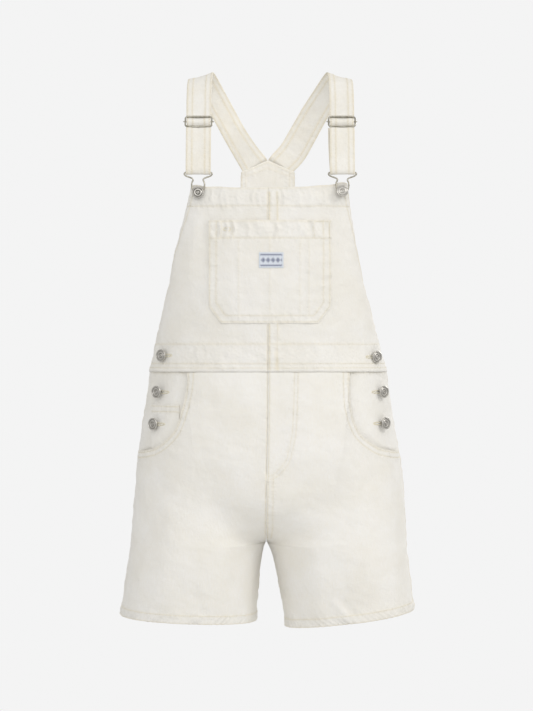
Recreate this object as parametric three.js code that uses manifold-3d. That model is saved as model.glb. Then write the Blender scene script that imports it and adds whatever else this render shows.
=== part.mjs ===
// Shortalls: a denim bib, crossed straps and short legs, in the hollow form they have when worn.
// Millimetres, +Z up, the front faces -Y, and the origin lies between the tops of the straps.
// Left and right are those of someone looking at the front, so left is -X.
import * as THREE from 'three';
import { mergeVertices } from 'three/addons/utils/BufferGeometryUtils.js';
import Module from 'manifold-3d';

const wasm = await Module();
wasm.setup();

// Cloth
const CLOTH = 1.4;
const HEM_CLOTH = 2.4;
const STRAP_CLOTH = 1.5;
const LABEL_CLOTH = 1.0;
const SEAM_GAP = 0.2;
const LAYER_GAP = 0.3;

// Levels
const WAIST_Z = -411;
const CROTCH_Z = -650;
const HEM_BAND = 13;
const CENTRE_X = -1;
const CROTCH_X = -3.8;

// Body below the waist: outline at each side, depth in front and behind, and the side seam's depth
const BODY = [
  { z: -411, left: -166, right: 164, front: -108, back: 105, side: 5 },
  { z: -452, left: -171, right: 170, front: -114, back: 122, side: 8 },
  { z: -490, left: -178, right: 176, front: -118, back: 135, side: 10 },
  { z: -524, left: -182.5, right: 182, front: -120, back: 140, side: 10 },
  { z: -564, left: -185.5, right: 187, front: -119, back: 138, side: 10 },
  { z: -606, left: -189.5, right: 189.5, front: -116, back: 129, side: 9 },
  { z: -650, left: -193, right: 192, front: -111, back: 117, side: 7 },
  { z: -690, left: -198, right: 196, front: -105, back: 108, side: 5 },
  { z: -724, left: -202.5, right: 200, front: -100, back: 101, side: 3 },
  { z: -770, left: -210, right: 205, front: -96, back: 97, side: 0 },
];

// Inner edge of each leg below the crotch
const INSEAM = [
  { z: -650, left: -4.6, right: -3, y: 8 },
  { z: -663, left: -9, right: 3.6, y: 8 },
  { z: -690, left: -13, right: 10.5, y: 7 },
  { z: -724, left: -15.5, right: 16.5, y: 5 },
  { z: -770, left: -17.5, right: 23, y: 3 },
];

// Height of the hem at the inner and the outer edge of each leg
const HEM = { left: { inner: -759.5, outer: -751.5 }, right: { inner: -767, outer: -743.5 } };

// Bib: half outline at each side, depth of its edge and its middle, and how square it turns
const BIB = [
  { z: -162.4, left: -105.9, right: 106.3, edge: -100.3, middle: -111.6, round: 2.0 },
  { z: -205, left: -116, right: 113, edge: -88, middle: -115, round: 2.05 },
  { z: -245, left: -127, right: 120.5, edge: -72, middle: -116, round: 2.1 },
  { z: -286, left: -137, right: 129.5, edge: -55, middle: -115, round: 2.2 },
  { z: -327, left: -146.5, right: 140, edge: -36, middle: -112, round: 2.25 },
  { z: -365, left: -156.2, right: 151, edge: -13, middle: -109, round: 2.3 },
  { z: -386, left: -160.8, right: 157.2, edge: 1.6, middle: -108, round: 2.35 },
  { z: -411, left: -166, right: 164, edge: 4.2, middle: -108, round: 2.4 },
];

// Back panel: half width, depth of its edge and its middle
const BACK = [
  { z: -126, half: 38.5, edge: 96.5, middle: 98, round: 2.0 },
  { z: -170, half: 40, edge: 97, middle: 100, round: 2.0 },
  { z: -220, half: 50, edge: 95, middle: 100, round: 2.0 },
  { z: -270, half: 70, edge: 88, middle: 98, round: 2.1 },
  { z: -320, half: 102, edge: 68, middle: 96, round: 2.2 },
  { z: -358, half: 138, edge: 36, middle: 97, round: 2.3 },
  { z: -386, half: 158.6, edge: 9, middle: 99, round: 2.35 },
  { z: -411, half: 165, edge: 5.8, middle: 105, round: 2.4 },
];
const YOKE_X = -1.5;
const YOKE_RISE = 17;
const BODY_ROUND = 2.4;
const LEG_ROUND = 2.2;

// Curved edge of each scoop pocket
const SCOOP = [
  { z: -411, left: -112, right: 110 },
  { z: -432, left: -113, right: 110 },
  { z: -462, left: -119, right: 112 },
  { z: -488, left: -127, right: 120 },
  { z: -503, left: -138, right: 131 },
  { z: -514, left: -152, right: 147 },
  { z: -519.5, left: -166, right: 163 },
  { z: -521.8, left: -177.5, right: 176 },
  { z: -522.5, left: -182.3, right: 181.7 },
];

// Broad soft folds of the legs, seen from the front and from behind: from, to, half width, height
const FRONT_FOLDS = [
  { x1: -24, z1: -606, x2: -125, z2: -690, half: 24, height: 2.6 },
  { x1: -16, z1: -560, x2: -95, z2: -590, half: 17, height: -1.8 },
  { x1: -60, z1: -640, x2: -70, z2: -750, half: 20, height: 3.2 },
  { x1: -120, z1: -560, x2: -150, z2: -740, half: 22, height: 3.0 },
  { x1: 20, z1: -600, x2: 112, z2: -664, half: 23, height: 2.6 },
  { x1: 12, z1: -550, x2: 80, z2: -570, half: 16, height: -1.8 },
  { x1: 60, z1: -640, x2: 66, z2: -755, half: 17, height: 3.4 },
  { x1: 120, z1: -560, x2: 140, z2: -735, half: 22, height: 2.6 },
];
const BACK_FOLDS = [
  { x1: -20, z1: -600, x2: -116, z2: -640, half: 22, height: 2.6 },
  { x1: -50, z1: -650, x2: -64, z2: -752, half: 20, height: 3.2 },
  { x1: -120, z1: -540, x2: -146, z2: -730, half: 22, height: 3.2 },
  { x1: 18, z1: -598, x2: 108, z2: -648, half: 22, height: 2.6 },
  { x1: 62, z1: -650, x2: 60, z2: -750, half: 19, height: 3.0 },
  { x1: 126, z1: -550, x2: 140, z2: -732, half: 22, height: 2.6 },
];

// Pocket on the bib, label on the pocket and the small pocket inside the left scoop
const POCKET = { left: -82, right: 84, top: -206.5, bottom: -346.5, chamferX: 17, chamferZ: 22 };
const LABEL = { x: 2.9, z: -261, width: 33, height: 21 };
const COIN = { left: -163, right: -124, top: -457, bottom: -532 };
const COIN_CLOTH = 1.0;
const COIN_DEPTH = CLOTH + 0.9;
const FACING_DEPTH = COIN_DEPTH + COIN_CLOTH + 0.6;
const FACING_LAP = 24;

// Straps behind: the left one's middle line, the slope of the width in degrees seen from the front,
// the width, and how much narrower the left one is on its inner edge
const STRAP_BACK = [
  { x: -21.2, y: 97, z: -115.2, width: 39, slope: 25, slim: 0 },
  { x: -31, y: 92.5, z: -97.5, width: 40, slope: 29, slim: 4.2 },
  { x: -45, y: 83, z: -74, width: 39.5, slope: 31, slim: 6 },
  { x: -61, y: 67, z: -46.5, width: 38.5, slope: 31, slim: 5.5 },
  { x: -77, y: 48, z: -22, width: 37, slope: 29, slim: 3 },
  { x: -88, y: 26, z: -6, width: 36, slope: 24, slim: 1.2 },
  { x: -94.5, y: 4, z: 0.5, width: 35, slope: 17, slim: 0 },
  { x: -96.2, y: -19, z: -8, width: 34.5, slope: 9, slim: 0 },
  { x: -96.6, y: -40, z: -25, width: 34, slope: 3, slim: 0 },
  { x: -96.5, y: -58, z: -42, width: 34, slope: 0, slim: 0 },
];
const STRAP_FRONT_X = { left: -96, right: 99.5 };
const STRAP_MIDDLE_X = 1.75;

// Slider: wire frame with a pointed bar; the strap runs behind its frame and over its bar
const SLIDER = { y: -84.5, z: -71, tilt: 27, halfWidth: 18.1, halfHeight: 7.8, wire: 1.1, bar: 1.0, pin: 21.3 };
const STRAP_WAVE = 2.5;
const STRAP_IN_SLIDER = 32.6;

// Strap below the slider: the fold round the hook's bar and the way back up behind
const FOLD = { y: -106, z: -141.5, radius: 2.3 };

// Hook: half of its outline from the middle of its bar to the bottom of its loop
const HOOK_WIRE = 1.05;
const HOOK_LEAN = 10;
const HOOK = [
  { x: 0, z: -141.5 },
  { x: 14.5, z: -141.5 },
  { x: 18.2, z: -142.6 },
  { x: 18.6, z: -144.8 },
  { x: 16.2, z: -147 },
  { x: 11.4, z: -148.8 },
  { x: 7.6, z: -150.6 },
  { x: 7.0, z: -153 },
  { x: 8.5, z: -156.5 },
  { x: 8.6, z: -160.5 },
  { x: 7.4, z: -166 },
  { x: 5.0, z: -171.2 },
  { x: 2.2, z: -173.8 },
  { x: 0, z: -174.4 },
];

// Metal buttons, radius and distance out from the cloth: turned profile of rim, shank and face
const BIB_BUTTON = [
  { r: 0, h: 0 },
  { r: 2.6, h: 0 },
  { r: 2.6, h: 0.2 },
  { r: 6.4, h: 0.2 },
  { r: 6.6, h: 0.8 },
  { r: 5.9, h: 1.3 },
  { r: 2.6, h: 1.5 },
  { r: 2.4, h: 4.7 },
  { r: 7.4, h: 4.9 },
  { r: 8.1, h: 5.7 },
  { r: 7.9, h: 6.6 },
  { r: 7.0, h: 7.1 },
  { r: 6.1, h: 6.7 },
  { r: 3.6, h: 6.9 },
  { r: 2.4, h: 6.6 },
  { r: 0, h: 6.2 },
];
const SIDE_BUTTON = [
  { r: 0, h: 0 },
  { r: 2.3, h: 0 },
  { r: 2.2, h: 3.0 },
  { r: 7.7, h: 3.2 },
  { r: 8.5, h: 4.0 },
  { r: 8.3, h: 4.9 },
  { r: 7.3, h: 5.4 },
  { r: 6.3, h: 5.0 },
  { r: 3.6, h: 5.2 },
  { r: 0, h: 4.6 },
];
const BUTTON_SIDES = 16;

// Side buttons: place seen from the front, how far each looks outward in degrees, and how deep
// the cloth that carries it lies behind the face of the front
const SIDE_BUTTONS = [
  { name: 'side_button_left_1', x: -145, z: -390, turn: -38, depth: 0 },
  { name: 'side_button_left_2', x: -151, z: -440, turn: -40, depth: FACING_DEPTH },
  { name: 'side_button_left_3', x: -155.5, z: -484, turn: -42, depth: COIN_DEPTH },
  { name: 'side_button_right_1', x: 145, z: -392, turn: 38, depth: 0 },
  { name: 'side_button_right_2', x: 154.5, z: -440, turn: 40, depth: FACING_DEPTH },
  { name: 'side_button_right_3', x: 156.5, z: -483, turn: 42, depth: FACING_DEPTH },
];
const BIB_BUTTONS = [
  { name: 'bib_button_left', x: -96.3, z: -170.4 },
  { name: 'bib_button_right', x: 99.2, z: -168.5 },
];
const BIB_BUTTON_TIP = HOOK_LEAN;
const BUTTON_LIFT = 2;
const HOOK_ABOVE_RIM = 3.1;

const ecru = { color: '#ece9e1', roughness: 0.92, metalness: 0 };
const ecruShade = { color: '#e4e0d5', roughness: 0.92, metalness: 0 };
const labelWhite = { color: '#dfe3ea', roughness: 0.85, metalness: 0 };
const nickel = { color: '#b4b0a8', roughness: 0.35, metalness: 1 };
const oldNickel = { color: '#9b9a92', roughness: 0.38, metalness: 1 };

const shortalls = new THREE.Group();
shortalls.name = 'shortalls';

function mix(a, b, t) {
  return a + (b - a) * t;
}

function smooth(t) {
  const c = Math.min(1, Math.max(0, t));
  return c * c * (3 - 2 * c);
}

// Value of a table's column at a height, smooth from row to row
function at(table, column, z) {
  const last = table.length - 1;
  if (z >= table[0].z) {
    return table[0][column];
  }
  if (z <= table[last].z) {
    return table[last][column];
  }
  let i = 0;
  while (z < table[i + 1].z) {
    i += 1;
  }
  const before = table[Math.max(0, i - 1)];
  const after = table[Math.min(last, i + 2)];
  const a = table[i];
  const b = table[i + 1];
  const step = b.z - a.z;
  const slopeA = (b[column] - before[column]) / (b.z - before.z) * step;
  const slopeB = (after[column] - a[column]) / (after.z - a.z) * step;
  const t = (z - a.z) / step;
  const t2 = t * t;
  const t3 = t2 * t;
  return (2 * t3 - 3 * t2 + 1) * a[column] + (t3 - 2 * t2 + t) * slopeA
    + (3 * t2 - 2 * t3) * b[column] + (t3 - t2) * slopeB;
}

// Height of the soft folds at a point seen from the front or from behind
function foldHeight(folds, x, z) {
  let height = 0;
  for (const fold of folds) {
    const dx = fold.x2 - fold.x1;
    const dz = fold.z2 - fold.z1;
    const along = ((x - fold.x1) * dx + (z - fold.z1) * dz) / (dx * dx + dz * dz);
    const near = Math.min(1, Math.max(0, along));
    const off = Math.hypot(x - fold.x1 - near * dx, z - fold.z1 - near * dz) / fold.half;
    const taper = smooth(near * 4 + 0.2) * smooth((1 - near) * 4 + 0.2);
    height += fold.height * Math.exp(-off * off) * taper;
  }
  return height;
}

// How far a section has turned from one body into two legs; 0 at the waist and 1 at the crotch
function legShare(z, t, height) {
  const up = Math.min(1, Math.max(0, (z - CROTCH_Z) / height));
  const atSeam = z <= CROTCH_Z ? 1 : 1 - Math.sqrt(1 - (1 - up) * (1 - up));
  const away = smooth((-520 - z) / 190);
  return mix(atSeam, away, smooth(t / 0.4));
}

// Point of a leg panel; t runs from the centre seam or inseam (0) to the side seam (1)
function legPoint(side, face, z, t) {
  const sign = side === 'left' ? -1 : 1;
  const front = face === 'front';
  const depth = at(BODY, front ? 'front' : 'back', z);
  const outer = at(BODY, side, z);
  const sideY = at(BODY, 'side', z);
  const low = Math.min(z, CROTCH_Z);
  const inner = z > CROTCH_Z ? CROTCH_X + sign * 0.5 : at(INSEAM, side, low);
  const innerY = at(INSEAM, 'y', low);
  const centre = mix(CENTRE_X, CROTCH_X, smooth((WAIST_Z - z) / (WAIST_Z - CROTCH_Z))) + sign * SEAM_GAP;
  const angle = t * Math.PI / 2;
  const bodyX = centre + (outer - centre) * Math.sin(angle) ** (2 / BODY_ROUND);
  const bodyY = sideY + (depth - sideY) * Math.max(0, Math.cos(angle)) ** (2 / BODY_ROUND);
  const middle = (inner + outer) / 2;
  const half = (outer - inner) / 2;
  const cosine = Math.cos(t * Math.PI);
  const sine = Math.max(0, Math.sin(t * Math.PI));
  const legX = middle - half * Math.sign(cosine) * Math.abs(cosine) ** (2 / LEG_ROUND);
  const baseY = mix(innerY, sideY, (1 - cosine) / 2);
  const legY = baseY + (depth - baseY) * sine ** (2 / LEG_ROUND);
  const share = legShare(z, t, front ? 78 : 105);
  const gap = front ? -SEAM_GAP : SEAM_GAP;
  const x = mix(bodyX, legX, share);
  const y = mix(bodyY, legY, share) + gap;
  const fold = foldHeight(front ? FRONT_FOLDS : BACK_FOLDS, x, z) * smooth(sine * 1.6);
  return new THREE.Vector3(x, y + (front ? -fold : fold), z);
}

// Height of a row of a leg panel: level down to the crotch, then on to the slanted hem
function legRow(side, row, t) {
  if (row.z !== undefined) {
    return row.z;
  }
  const hem = HEM[side];
  const end = mix(hem.inner, hem.outer, (1 - Math.cos(t * Math.PI)) / 2);
  if (row.up !== undefined) {
    return end + row.up;
  }
  return mix(CROTCH_Z, end + HEM_BAND, row.down);
}

// Outward normals of a grid of points, by differences to its neighbours
function gridNormals(grid, flip) {
  return grid.map((row, i) => row.map((point, j) => {
    const above = grid[Math.max(0, i - 1)][j];
    const below = grid[Math.min(grid.length - 1, i + 1)][j];
    const before = row[Math.max(0, j - 1)];
    const after = row[Math.min(row.length - 1, j + 1)];
    const down = below.clone().sub(above);
    const across = after.clone().sub(before);
    const normal = across.cross(down).normalize();
    return flip ? normal.negate() : normal;
  }));
}

// Outward normal of a leg panel at a place
function legNormal(side, face, z, t) {
  const near = 0.004;
  const across = legPoint(side, face, z, Math.min(1, t + near)).sub(legPoint(side, face, z, Math.max(0, t - near)));
  const down = legPoint(side, face, z - 1, t).sub(legPoint(side, face, z + 1, t));
  const normal = across.cross(down).normalize();
  return (side === 'right') === (face === 'front') ? normal.negate() : normal;
}

// Grid moved along its normals; keep(point, i, j) may hold a seam edge in its plane
function offsetGrid(grid, normals, distance, keep) {
  return grid.map((row, i) => row.map((point, j) => {
    const far = typeof distance === 'function' ? distance(i, j) : distance;
    const moved = point.clone().addScaledVector(normals[i][j], far);
    return keep ? keep(moved, point, i, j) : moved;
  }));
}

// Closed solid between an outer and an inner grid; looped grids join their first and last columns
function solidBetween(outer, inner, looped) {
  const rows = outer.length;
  const columns = outer[0].length;
  const positions = [];
  for (const grid of [outer, inner]) {
    for (const row of grid) {
      for (const point of row) {
        positions.push(point.x, point.y, point.z);
      }
    }
  }
  const out = (i, j) => i * columns + (j % columns);
  const inn = (i, j) => rows * columns + i * columns + (j % columns);
  const indices = [];
  const quad = (a, b, c, d) => indices.push(a, b, c, a, c, d);
  const spans = looped ? columns : columns - 1;
  for (let i = 0; i < rows - 1; i += 1) {
    for (let j = 0; j < spans; j += 1) {
      quad(out(i, j), out(i + 1, j), out(i + 1, j + 1), out(i, j + 1));
      quad(inn(i, j), inn(i, j + 1), inn(i + 1, j + 1), inn(i + 1, j));
    }
    if (!looped) {
      quad(out(i, 0), inn(i, 0), inn(i + 1, 0), out(i + 1, 0));
      quad(out(i, columns - 1), out(i + 1, columns - 1), inn(i + 1, columns - 1), inn(i, columns - 1));
    }
  }
  for (let j = 0; j < spans; j += 1) {
    quad(out(0, j), out(0, j + 1), inn(0, j + 1), inn(0, j));
    quad(out(rows - 1, j), inn(rows - 1, j), inn(rows - 1, j + 1), out(rows - 1, j + 1));
  }
  return closedGeometry(positions, indices);
}

// Geometry with its faces pointing out
function closedGeometry(positions, indices) {
  let volume = 0;
  const corner = (k) => new THREE.Vector3().fromArray(positions, indices[k] * 3);
  for (let k = 0; k < indices.length; k += 3) {
    volume += corner(k).dot(corner(k + 1).cross(corner(k + 2)));
  }
  const facing = volume > 0 ? indices : indices.slice().reverse();
  const geometry = new THREE.BufferGeometry();
  geometry.setAttribute('position', new THREE.Float32BufferAttribute(positions, 3));
  geometry.setIndex(facing);
  return geometry;
}

function addPiece(name, geometry, look) {
  const mesh = new THREE.Mesh(geometry, new THREE.MeshStandardMaterial(look));
  mesh.name = name;
  shortalls.add(mesh);
  return mesh;
}

function steps(count, from = 0, to = 1) {
  return Array.from({ length: count + 1 }, (unused, i) => mix(from, to, i / count));
}

// Column of a leg panel where it reaches a given x
function columnAt(side, face, z, x) {
  let low = 0;
  let high = 1;
  for (let i = 0; i < 40; i += 1) {
    const t = (low + high) / 2;
    const short = Math.abs(legPoint(side, face, z, t).x) < Math.abs(x);
    low = short ? t : low;
    high = short ? high : t;
  }
  return (low + high) / 2;
}

// Rows of a leg panel: shares of the part above the crotch's turn, then levels, then shares of the leg
const PANEL_TOP = WAIST_Z - 0.4;
const TURN_Z = -548;
const UPPER_ROWS = [0, 0.1, 0.25, 0.42, 0.6, 0.8, 1].map((share) => ({ share }));
const RISE_ROWS = [-570, -590, -608, -622, -633, -641, -647, -650].map((z) => ({ z }));
const LEG_ROWS = [0.14, 0.38, 0.69, 1].map((down) => ({ down }));
const HEM_ROWS = [{ up: HEM_BAND - 0.8, hem: true }, { up: 0, hem: true }];
const PANEL_COLUMNS = 17;

// Top edge of a panel as pairs of column and height: along the waist and, in front, down the scoop
function panelTop(side, face) {
  if (face === 'back') {
    return steps(PANEL_COLUMNS).map((t) => ({ t, z: PANEL_TOP }));
  }
  const corner = columnAt(side, 'front', PANEL_TOP, SCOOP[0][side]);
  const along = steps(PANEL_COLUMNS - SCOOP.length, 0, corner).map((t) => ({ t, z: PANEL_TOP }));
  const down = SCOOP.slice(1).map((row) => ({ t: columnAt(side, 'front', row.z, row[side]), z: row.z }));
  down[down.length - 1].t = 1;
  return [...along, ...down];
}

function legPanel(side, face) {
  const front = face === 'front';
  const rows = [...UPPER_ROWS, ...RISE_ROWS, ...LEG_ROWS, ...HEM_ROWS];
  const top = panelTop(side, face);
  const last = top.length - 1;
  const sign = side === 'left' ? -1 : 1;
  const corner = front ? last - SCOOP.length + 1 : last;
  const turned = top.map((edge, j) => {
    const along = Math.max(0, j - corner) / (SCOOP.length - 1);
    const start = front ? 0.72 : 1;
    return j <= corner ? edge.t * start : mix(top[corner].t * start, 1, along ** 1.6);
  });
  const places = rows.map((row) => top.map((edge, j) => {
    if (row.share !== undefined) {
      return { z: mix(edge.z, TURN_Z, row.share), t: mix(edge.t, turned[j], row.share) };
    }
    const evened = row.z === undefined ? 1 : smooth((TURN_Z - row.z) / (TURN_Z - CROTCH_Z));
    const t = mix(turned[j], j / last, evened);
    return { z: legRow(side, row, t), t };
  }));
  const grid = places.map((row) => row.map((place) => legPoint(side, face, place.z, place.t)));
  const normals = places.map((row) => row.map((place) => legNormal(side, face, place.z, place.t)));
  const crotchRow = UPPER_ROWS.length + RISE_ROWS.length - 1;
  const keep = (moved, point, i, j) => {
    if (j === 0 && i <= crotchRow) {
      moved.x = sign * Math.max(sign * moved.x, sign * point.x);
    }
    if (j === last || (j === 0 && i >= crotchRow)) {
      moved.y = front ? Math.min(moved.y, point.y) : Math.max(moved.y, point.y);
    }
    if (i === 0) {
      moved.z = Math.min(moved.z, point.z);
    }
    return moved;
  };
  const outer = offsetGrid(grid, normals, (i) => (rows[i].hem ? 0.5 : 0), null);
  const inner = offsetGrid(grid, normals, (i) => -(rows[i].hem ? HEM_CLOTH : CLOTH), keep);
  return addPiece(`${face}_leg_${side}`, solidBetween(outer, inner, false), ecru);
}

for (const side of ['left', 'right']) {
  legPanel(side, 'front');
  legPanel(side, 'back');
}

// Depth of the bib's outer face at a place seen from the front
function bibY(x, z) {
  const outline = x < CENTRE_X ? at(BIB, 'left', z) : at(BIB, 'right', z);
  const edge = at(BIB, 'edge', z);
  const round = at(BIB, 'round', z);
  const across = Math.min(1, Math.abs((x - CENTRE_X) / (outline - CENTRE_X)));
  return edge + (at(BIB, 'middle', z) - edge) * (1 - across ** round) ** (1 / round);
}

function bibHalf(side) {
  const sign = side === 'left' ? -1 : 1;
  const heights = [-162.4, -174, -190, -215, -245, -275, -305, -335, -358, -372, -386, -398, -410.9];
  const columns = steps(10);
  const grid = heights.map((z) => columns.map((c) => {
    const round = at(BIB, 'round', z);
    const edge = at(BIB, 'edge', z);
    const start = CENTRE_X + sign * SEAM_GAP;
    const x = start + (at(BIB, side, z) - start) * Math.sin(c * Math.PI / 2) ** (2 / round);
    const deep = Math.max(0, Math.cos(c * Math.PI / 2)) ** (2 / round);
    return new THREE.Vector3(x, edge + (at(BIB, 'middle', z) - edge) * deep, z);
  }));
  const normals = gridNormals(grid, sign > 0);
  const keep = (moved, point, i, j) => {
    if (j === 0) {
      moved.x = point.x;
    }
    moved.z = point.z;
    return moved;
  };
  const thick = (i) => -(i === 0 ? HEM_CLOTH : CLOTH);
  const inner = offsetGrid(grid, normals, thick, keep);
  return addPiece(`bib_${side}`, solidBetween(grid, inner, false), ecru);
}
bibHalf('left');
bibHalf('right');

// Patch lying on a face y(x, z): its rows run down, its outer face stands out by lift plus cloth
function patch(name, rows, columns, face, lift, cloth, look) {
  const grid = rows.map((row) => columns.map((c) => {
    const x = mix(row.left, row.right, c);
    return new THREE.Vector3(x, face(x, row.z), row.z);
  }));
  const normals = gridNormals(grid, true);
  const outer = offsetGrid(grid, normals, lift + cloth, null);
  const inner = offsetGrid(grid, normals, lift, null);
  return addPiece(name, solidBetween(outer, inner, false), look);
}

const chamferTop = POCKET.bottom + POCKET.chamferZ;
const pocketRows = [
  { z: POCKET.top, left: POCKET.left, right: POCKET.right },
  ...steps(5, POCKET.top - 17, chamferTop).map((z) => ({ z, left: POCKET.left, right: POCKET.right })),
  {
    z: (chamferTop + POCKET.bottom) / 2,
    left: POCKET.left + POCKET.chamferX / 2,
    right: POCKET.right - POCKET.chamferX / 2,
  },
  { z: POCKET.bottom, left: POCKET.left + POCKET.chamferX, right: POCKET.right - POCKET.chamferX },
];
patch('bib_pocket', pocketRows, steps(14), bibY, LAYER_GAP, CLOTH, ecru);

const labelRows = steps(2, LABEL.z + LABEL.height / 2, LABEL.z - LABEL.height / 2).map((z) => ({
  z,
  left: LABEL.x - LABEL.width / 2,
  right: LABEL.x + LABEL.width / 2,
}));
patch('label', labelRows, steps(4), bibY, CLOTH + 2 * LAYER_GAP, LABEL_CLOTH, labelWhite);

// Cloth behind each scoop, set in by the front panel and the small pocket
function pocketFacing(side) {
  const sign = side === 'left' ? -1 : 1;
  const heights = [-411.4, -432, -452, -470, -488, -503, -520, -540, -556];
  const columns = steps(8);
  const grid = heights.map((z) => {
    const edge = at(SCOOP, side, Math.max(z, -512));
    const start = columnAt(side, 'front', z, edge - sign * FACING_LAP);
    return columns.map((c) => legPoint(side, 'front', z, mix(start, 1, c)));
  });
  const normals = gridNormals(grid, sign > 0);
  const last = columns.length - 1;
  const hold = (moved, point, i, j) => {
    if (j === last) {
      moved.y = Math.min(moved.y, point.y);
    }
    moved.z = point.z;
    return moved;
  };
  const outer = offsetGrid(grid, normals, -FACING_DEPTH, hold);
  const inner = offsetGrid(grid, normals, -FACING_DEPTH - CLOTH, hold);
  return addPiece(`pocket_facing_${side}`, solidBetween(outer, inner, false), ecru);
}
pocketFacing('left');
pocketFacing('right');

// Small pocket on the left facing, its lower part behind the front panel
function coinPocket() {
  const heights = steps(5, COIN.top, COIN.bottom);
  const columns = steps(5);
  const grid = heights.map((z) => {
    const start = columnAt('left', 'front', z, COIN.right);
    const end = columnAt('left', 'front', z, COIN.left);
    return columns.map((c) => legPoint('left', 'front', z, mix(start, end, c)));
  });
  const normals = gridNormals(grid, false);
  const outer = offsetGrid(grid, normals, -COIN_DEPTH, null);
  const inner = offsetGrid(grid, normals, -COIN_DEPTH - COIN_CLOTH, null);
  return addPiece('coin_pocket', solidBetween(outer, inner, false), ecru);
}
coinPocket();

// Back panel with its pointed yoke
function backBib() {
  const heights = [-126, -140, -170, -200, -232, -264, -292, -320, -342, -360, -374, -386, -398, -410.9];
  const columns = steps(16, -1, 1);
  const grid = heights.map((z) => columns.map((c) => {
    const round = at(BACK, 'round', z);
    const half = at(BACK, 'half', z);
    const edge = at(BACK, 'edge', z);
    const angle = c * Math.PI / 2;
    const across = Math.sign(angle) * Math.abs(Math.sin(angle)) ** (2 / round);
    const deep = Math.max(0, Math.cos(angle)) ** (2 / round);
    const rise = smooth((z + 170) / 44) * YOKE_RISE * (1 - Math.abs(across));
    return new THREE.Vector3(YOKE_X + half * across, edge + (at(BACK, 'middle', z) - edge) * deep, z + rise);
  }));
  const normals = gridNormals(grid, false);
  const last = heights.length - 1;
  const keep = (moved, point, i, j) => {
    if (i === last || i === 0) {
      moved.z = point.z;
    }
    if (i === last && (j === 0 || j === columns.length - 1)) {
      moved.y = Math.max(moved.y, point.y);
    }
    return moved;
  };
  const inner = offsetGrid(grid, normals, -CLOTH, keep);
  return addPiece('back_bib', solidBetween(grid, inner, false), ecru);
}
backBib();

// Points of the strap's middle line with their width direction, in the order yoke to return end
function strapLine(side) {
  const sign = side === 'left' ? 1 : -1;
  const frontX = STRAP_FRONT_X[side];
  const tilt = SLIDER.tilt * Math.PI / 180;
  const along = new THREE.Vector3(0, Math.sin(-tilt), -Math.cos(tilt));
  const outward = new THREE.Vector3(0, -Math.cos(tilt), Math.sin(tilt));
  const middle = new THREE.Vector3(frontX, SLIDER.y, SLIDER.z);
  const line = [];
  const mirror = (x) => (side === 'left' ? x : 2 * STRAP_MIDDLE_X - x);
  const curve = new THREE.CatmullRomCurve3(STRAP_BACK.map((row, i) => {
    const x = i === 0 && side === 'right' ? 2 * YOKE_X - row.x : mirror(row.x);
    return new THREE.Vector3(x, row.y, row.z);
  }));
  const spans = STRAP_BACK.length - 1;
  for (const t of steps(2 * spans)) {
    const i = Math.min(spans - 1, Math.floor(t * spans));
    const between = t * spans - i;
    const slope = sign * mix(STRAP_BACK[i].slope, STRAP_BACK[i + 1].slope, between) * Math.PI / 180;
    const across = new THREE.Vector3(Math.cos(slope), 0, Math.sin(slope));
    const slim = side === 'left' ? mix(STRAP_BACK[i].slim, STRAP_BACK[i + 1].slim, between) : 0;
    line.push({
      point: curve.getPoint(t).addScaledVector(across, -slim / 2),
      across,
      width: mix(STRAP_BACK[i].width, STRAP_BACK[i + 1].width, between) - slim,
    });
  }
  const level = new THREE.Vector3(1, 0, 0);
  for (const s of steps(12, -1.5, 1.5)) {
    const wave = STRAP_WAVE * Math.cos(s * Math.PI) * (Math.abs(s) > 1 ? 1 - (Math.abs(s) - 1) * 0.6 : 1);
    const point = middle.clone().addScaledVector(along, s * SLIDER.halfHeight).addScaledVector(outward, wave);
    line.push({ point, across: level, width: mix(STRAP_IN_SLIDER, 34, smooth(Math.abs(s) * 2 - 2)) });
  }
  const below = [
    { y: -97.6, z: -100 },
    { y: -102, z: -118 },
    { y: FOLD.y - FOLD.radius - 0.2, z: -136 },
  ];
  for (const row of below) {
    line.push({ point: new THREE.Vector3(frontX, row.y, row.z), across: level, width: 34 });
  }
  for (const angle of steps(6, 0, Math.PI)) {
    const y = FOLD.y - Math.cos(angle) * FOLD.radius;
    const z = FOLD.z - Math.sin(angle) * FOLD.radius;
    line.push({ point: new THREE.Vector3(frontX, y, z), across: level, width: 33.6 });
  }
  const back = [
    { y: FOLD.y + FOLD.radius + 0.6, z: -135, aside: 0.2 },
    { y: -99.1, z: -118, aside: 1.2 },
    { y: -94.4, z: -101, aside: 1.8 },
    { y: -88.6, z: -88, aside: 1.9 },
    { y: -84.4, z: -80, aside: 1.9 },
  ];
  for (const row of back) {
    const x = frontX - (side === 'right' ? row.aside : 0);
    line.push({ point: new THREE.Vector3(x, row.y, row.z), across: level, width: 34 });
  }
  return line;
}

function strap(side) {
  const line = strapLine(side);
  const columns = steps(4, -0.5, 0.5);
  const outer = [];
  const inner = [];
  line.forEach((row, i) => {
    const before = line[Math.max(0, i - 1)].point;
    const after = line[Math.min(line.length - 1, i + 1)].point;
    const along = after.clone().sub(before).normalize();
    const across = row.across.clone().addScaledVector(along, -row.across.dot(along)).normalize();
    const normal = across.clone().cross(along).normalize().negate();
    const place = (c, lift) => row.point.clone()
      .addScaledVector(i === 0 ? row.across : across, c * row.width)
      .addScaledVector(normal, lift);
    outer.push(columns.map((c) => place(c, STRAP_CLOTH / 2)));
    inner.push(columns.map((c) => place(c, -STRAP_CLOTH / 2)));
  });
  return addPiece(`strap_${side}`, solidBetween(outer, inner, false), ecruShade);
}
strap('left');
strap('right');

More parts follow.
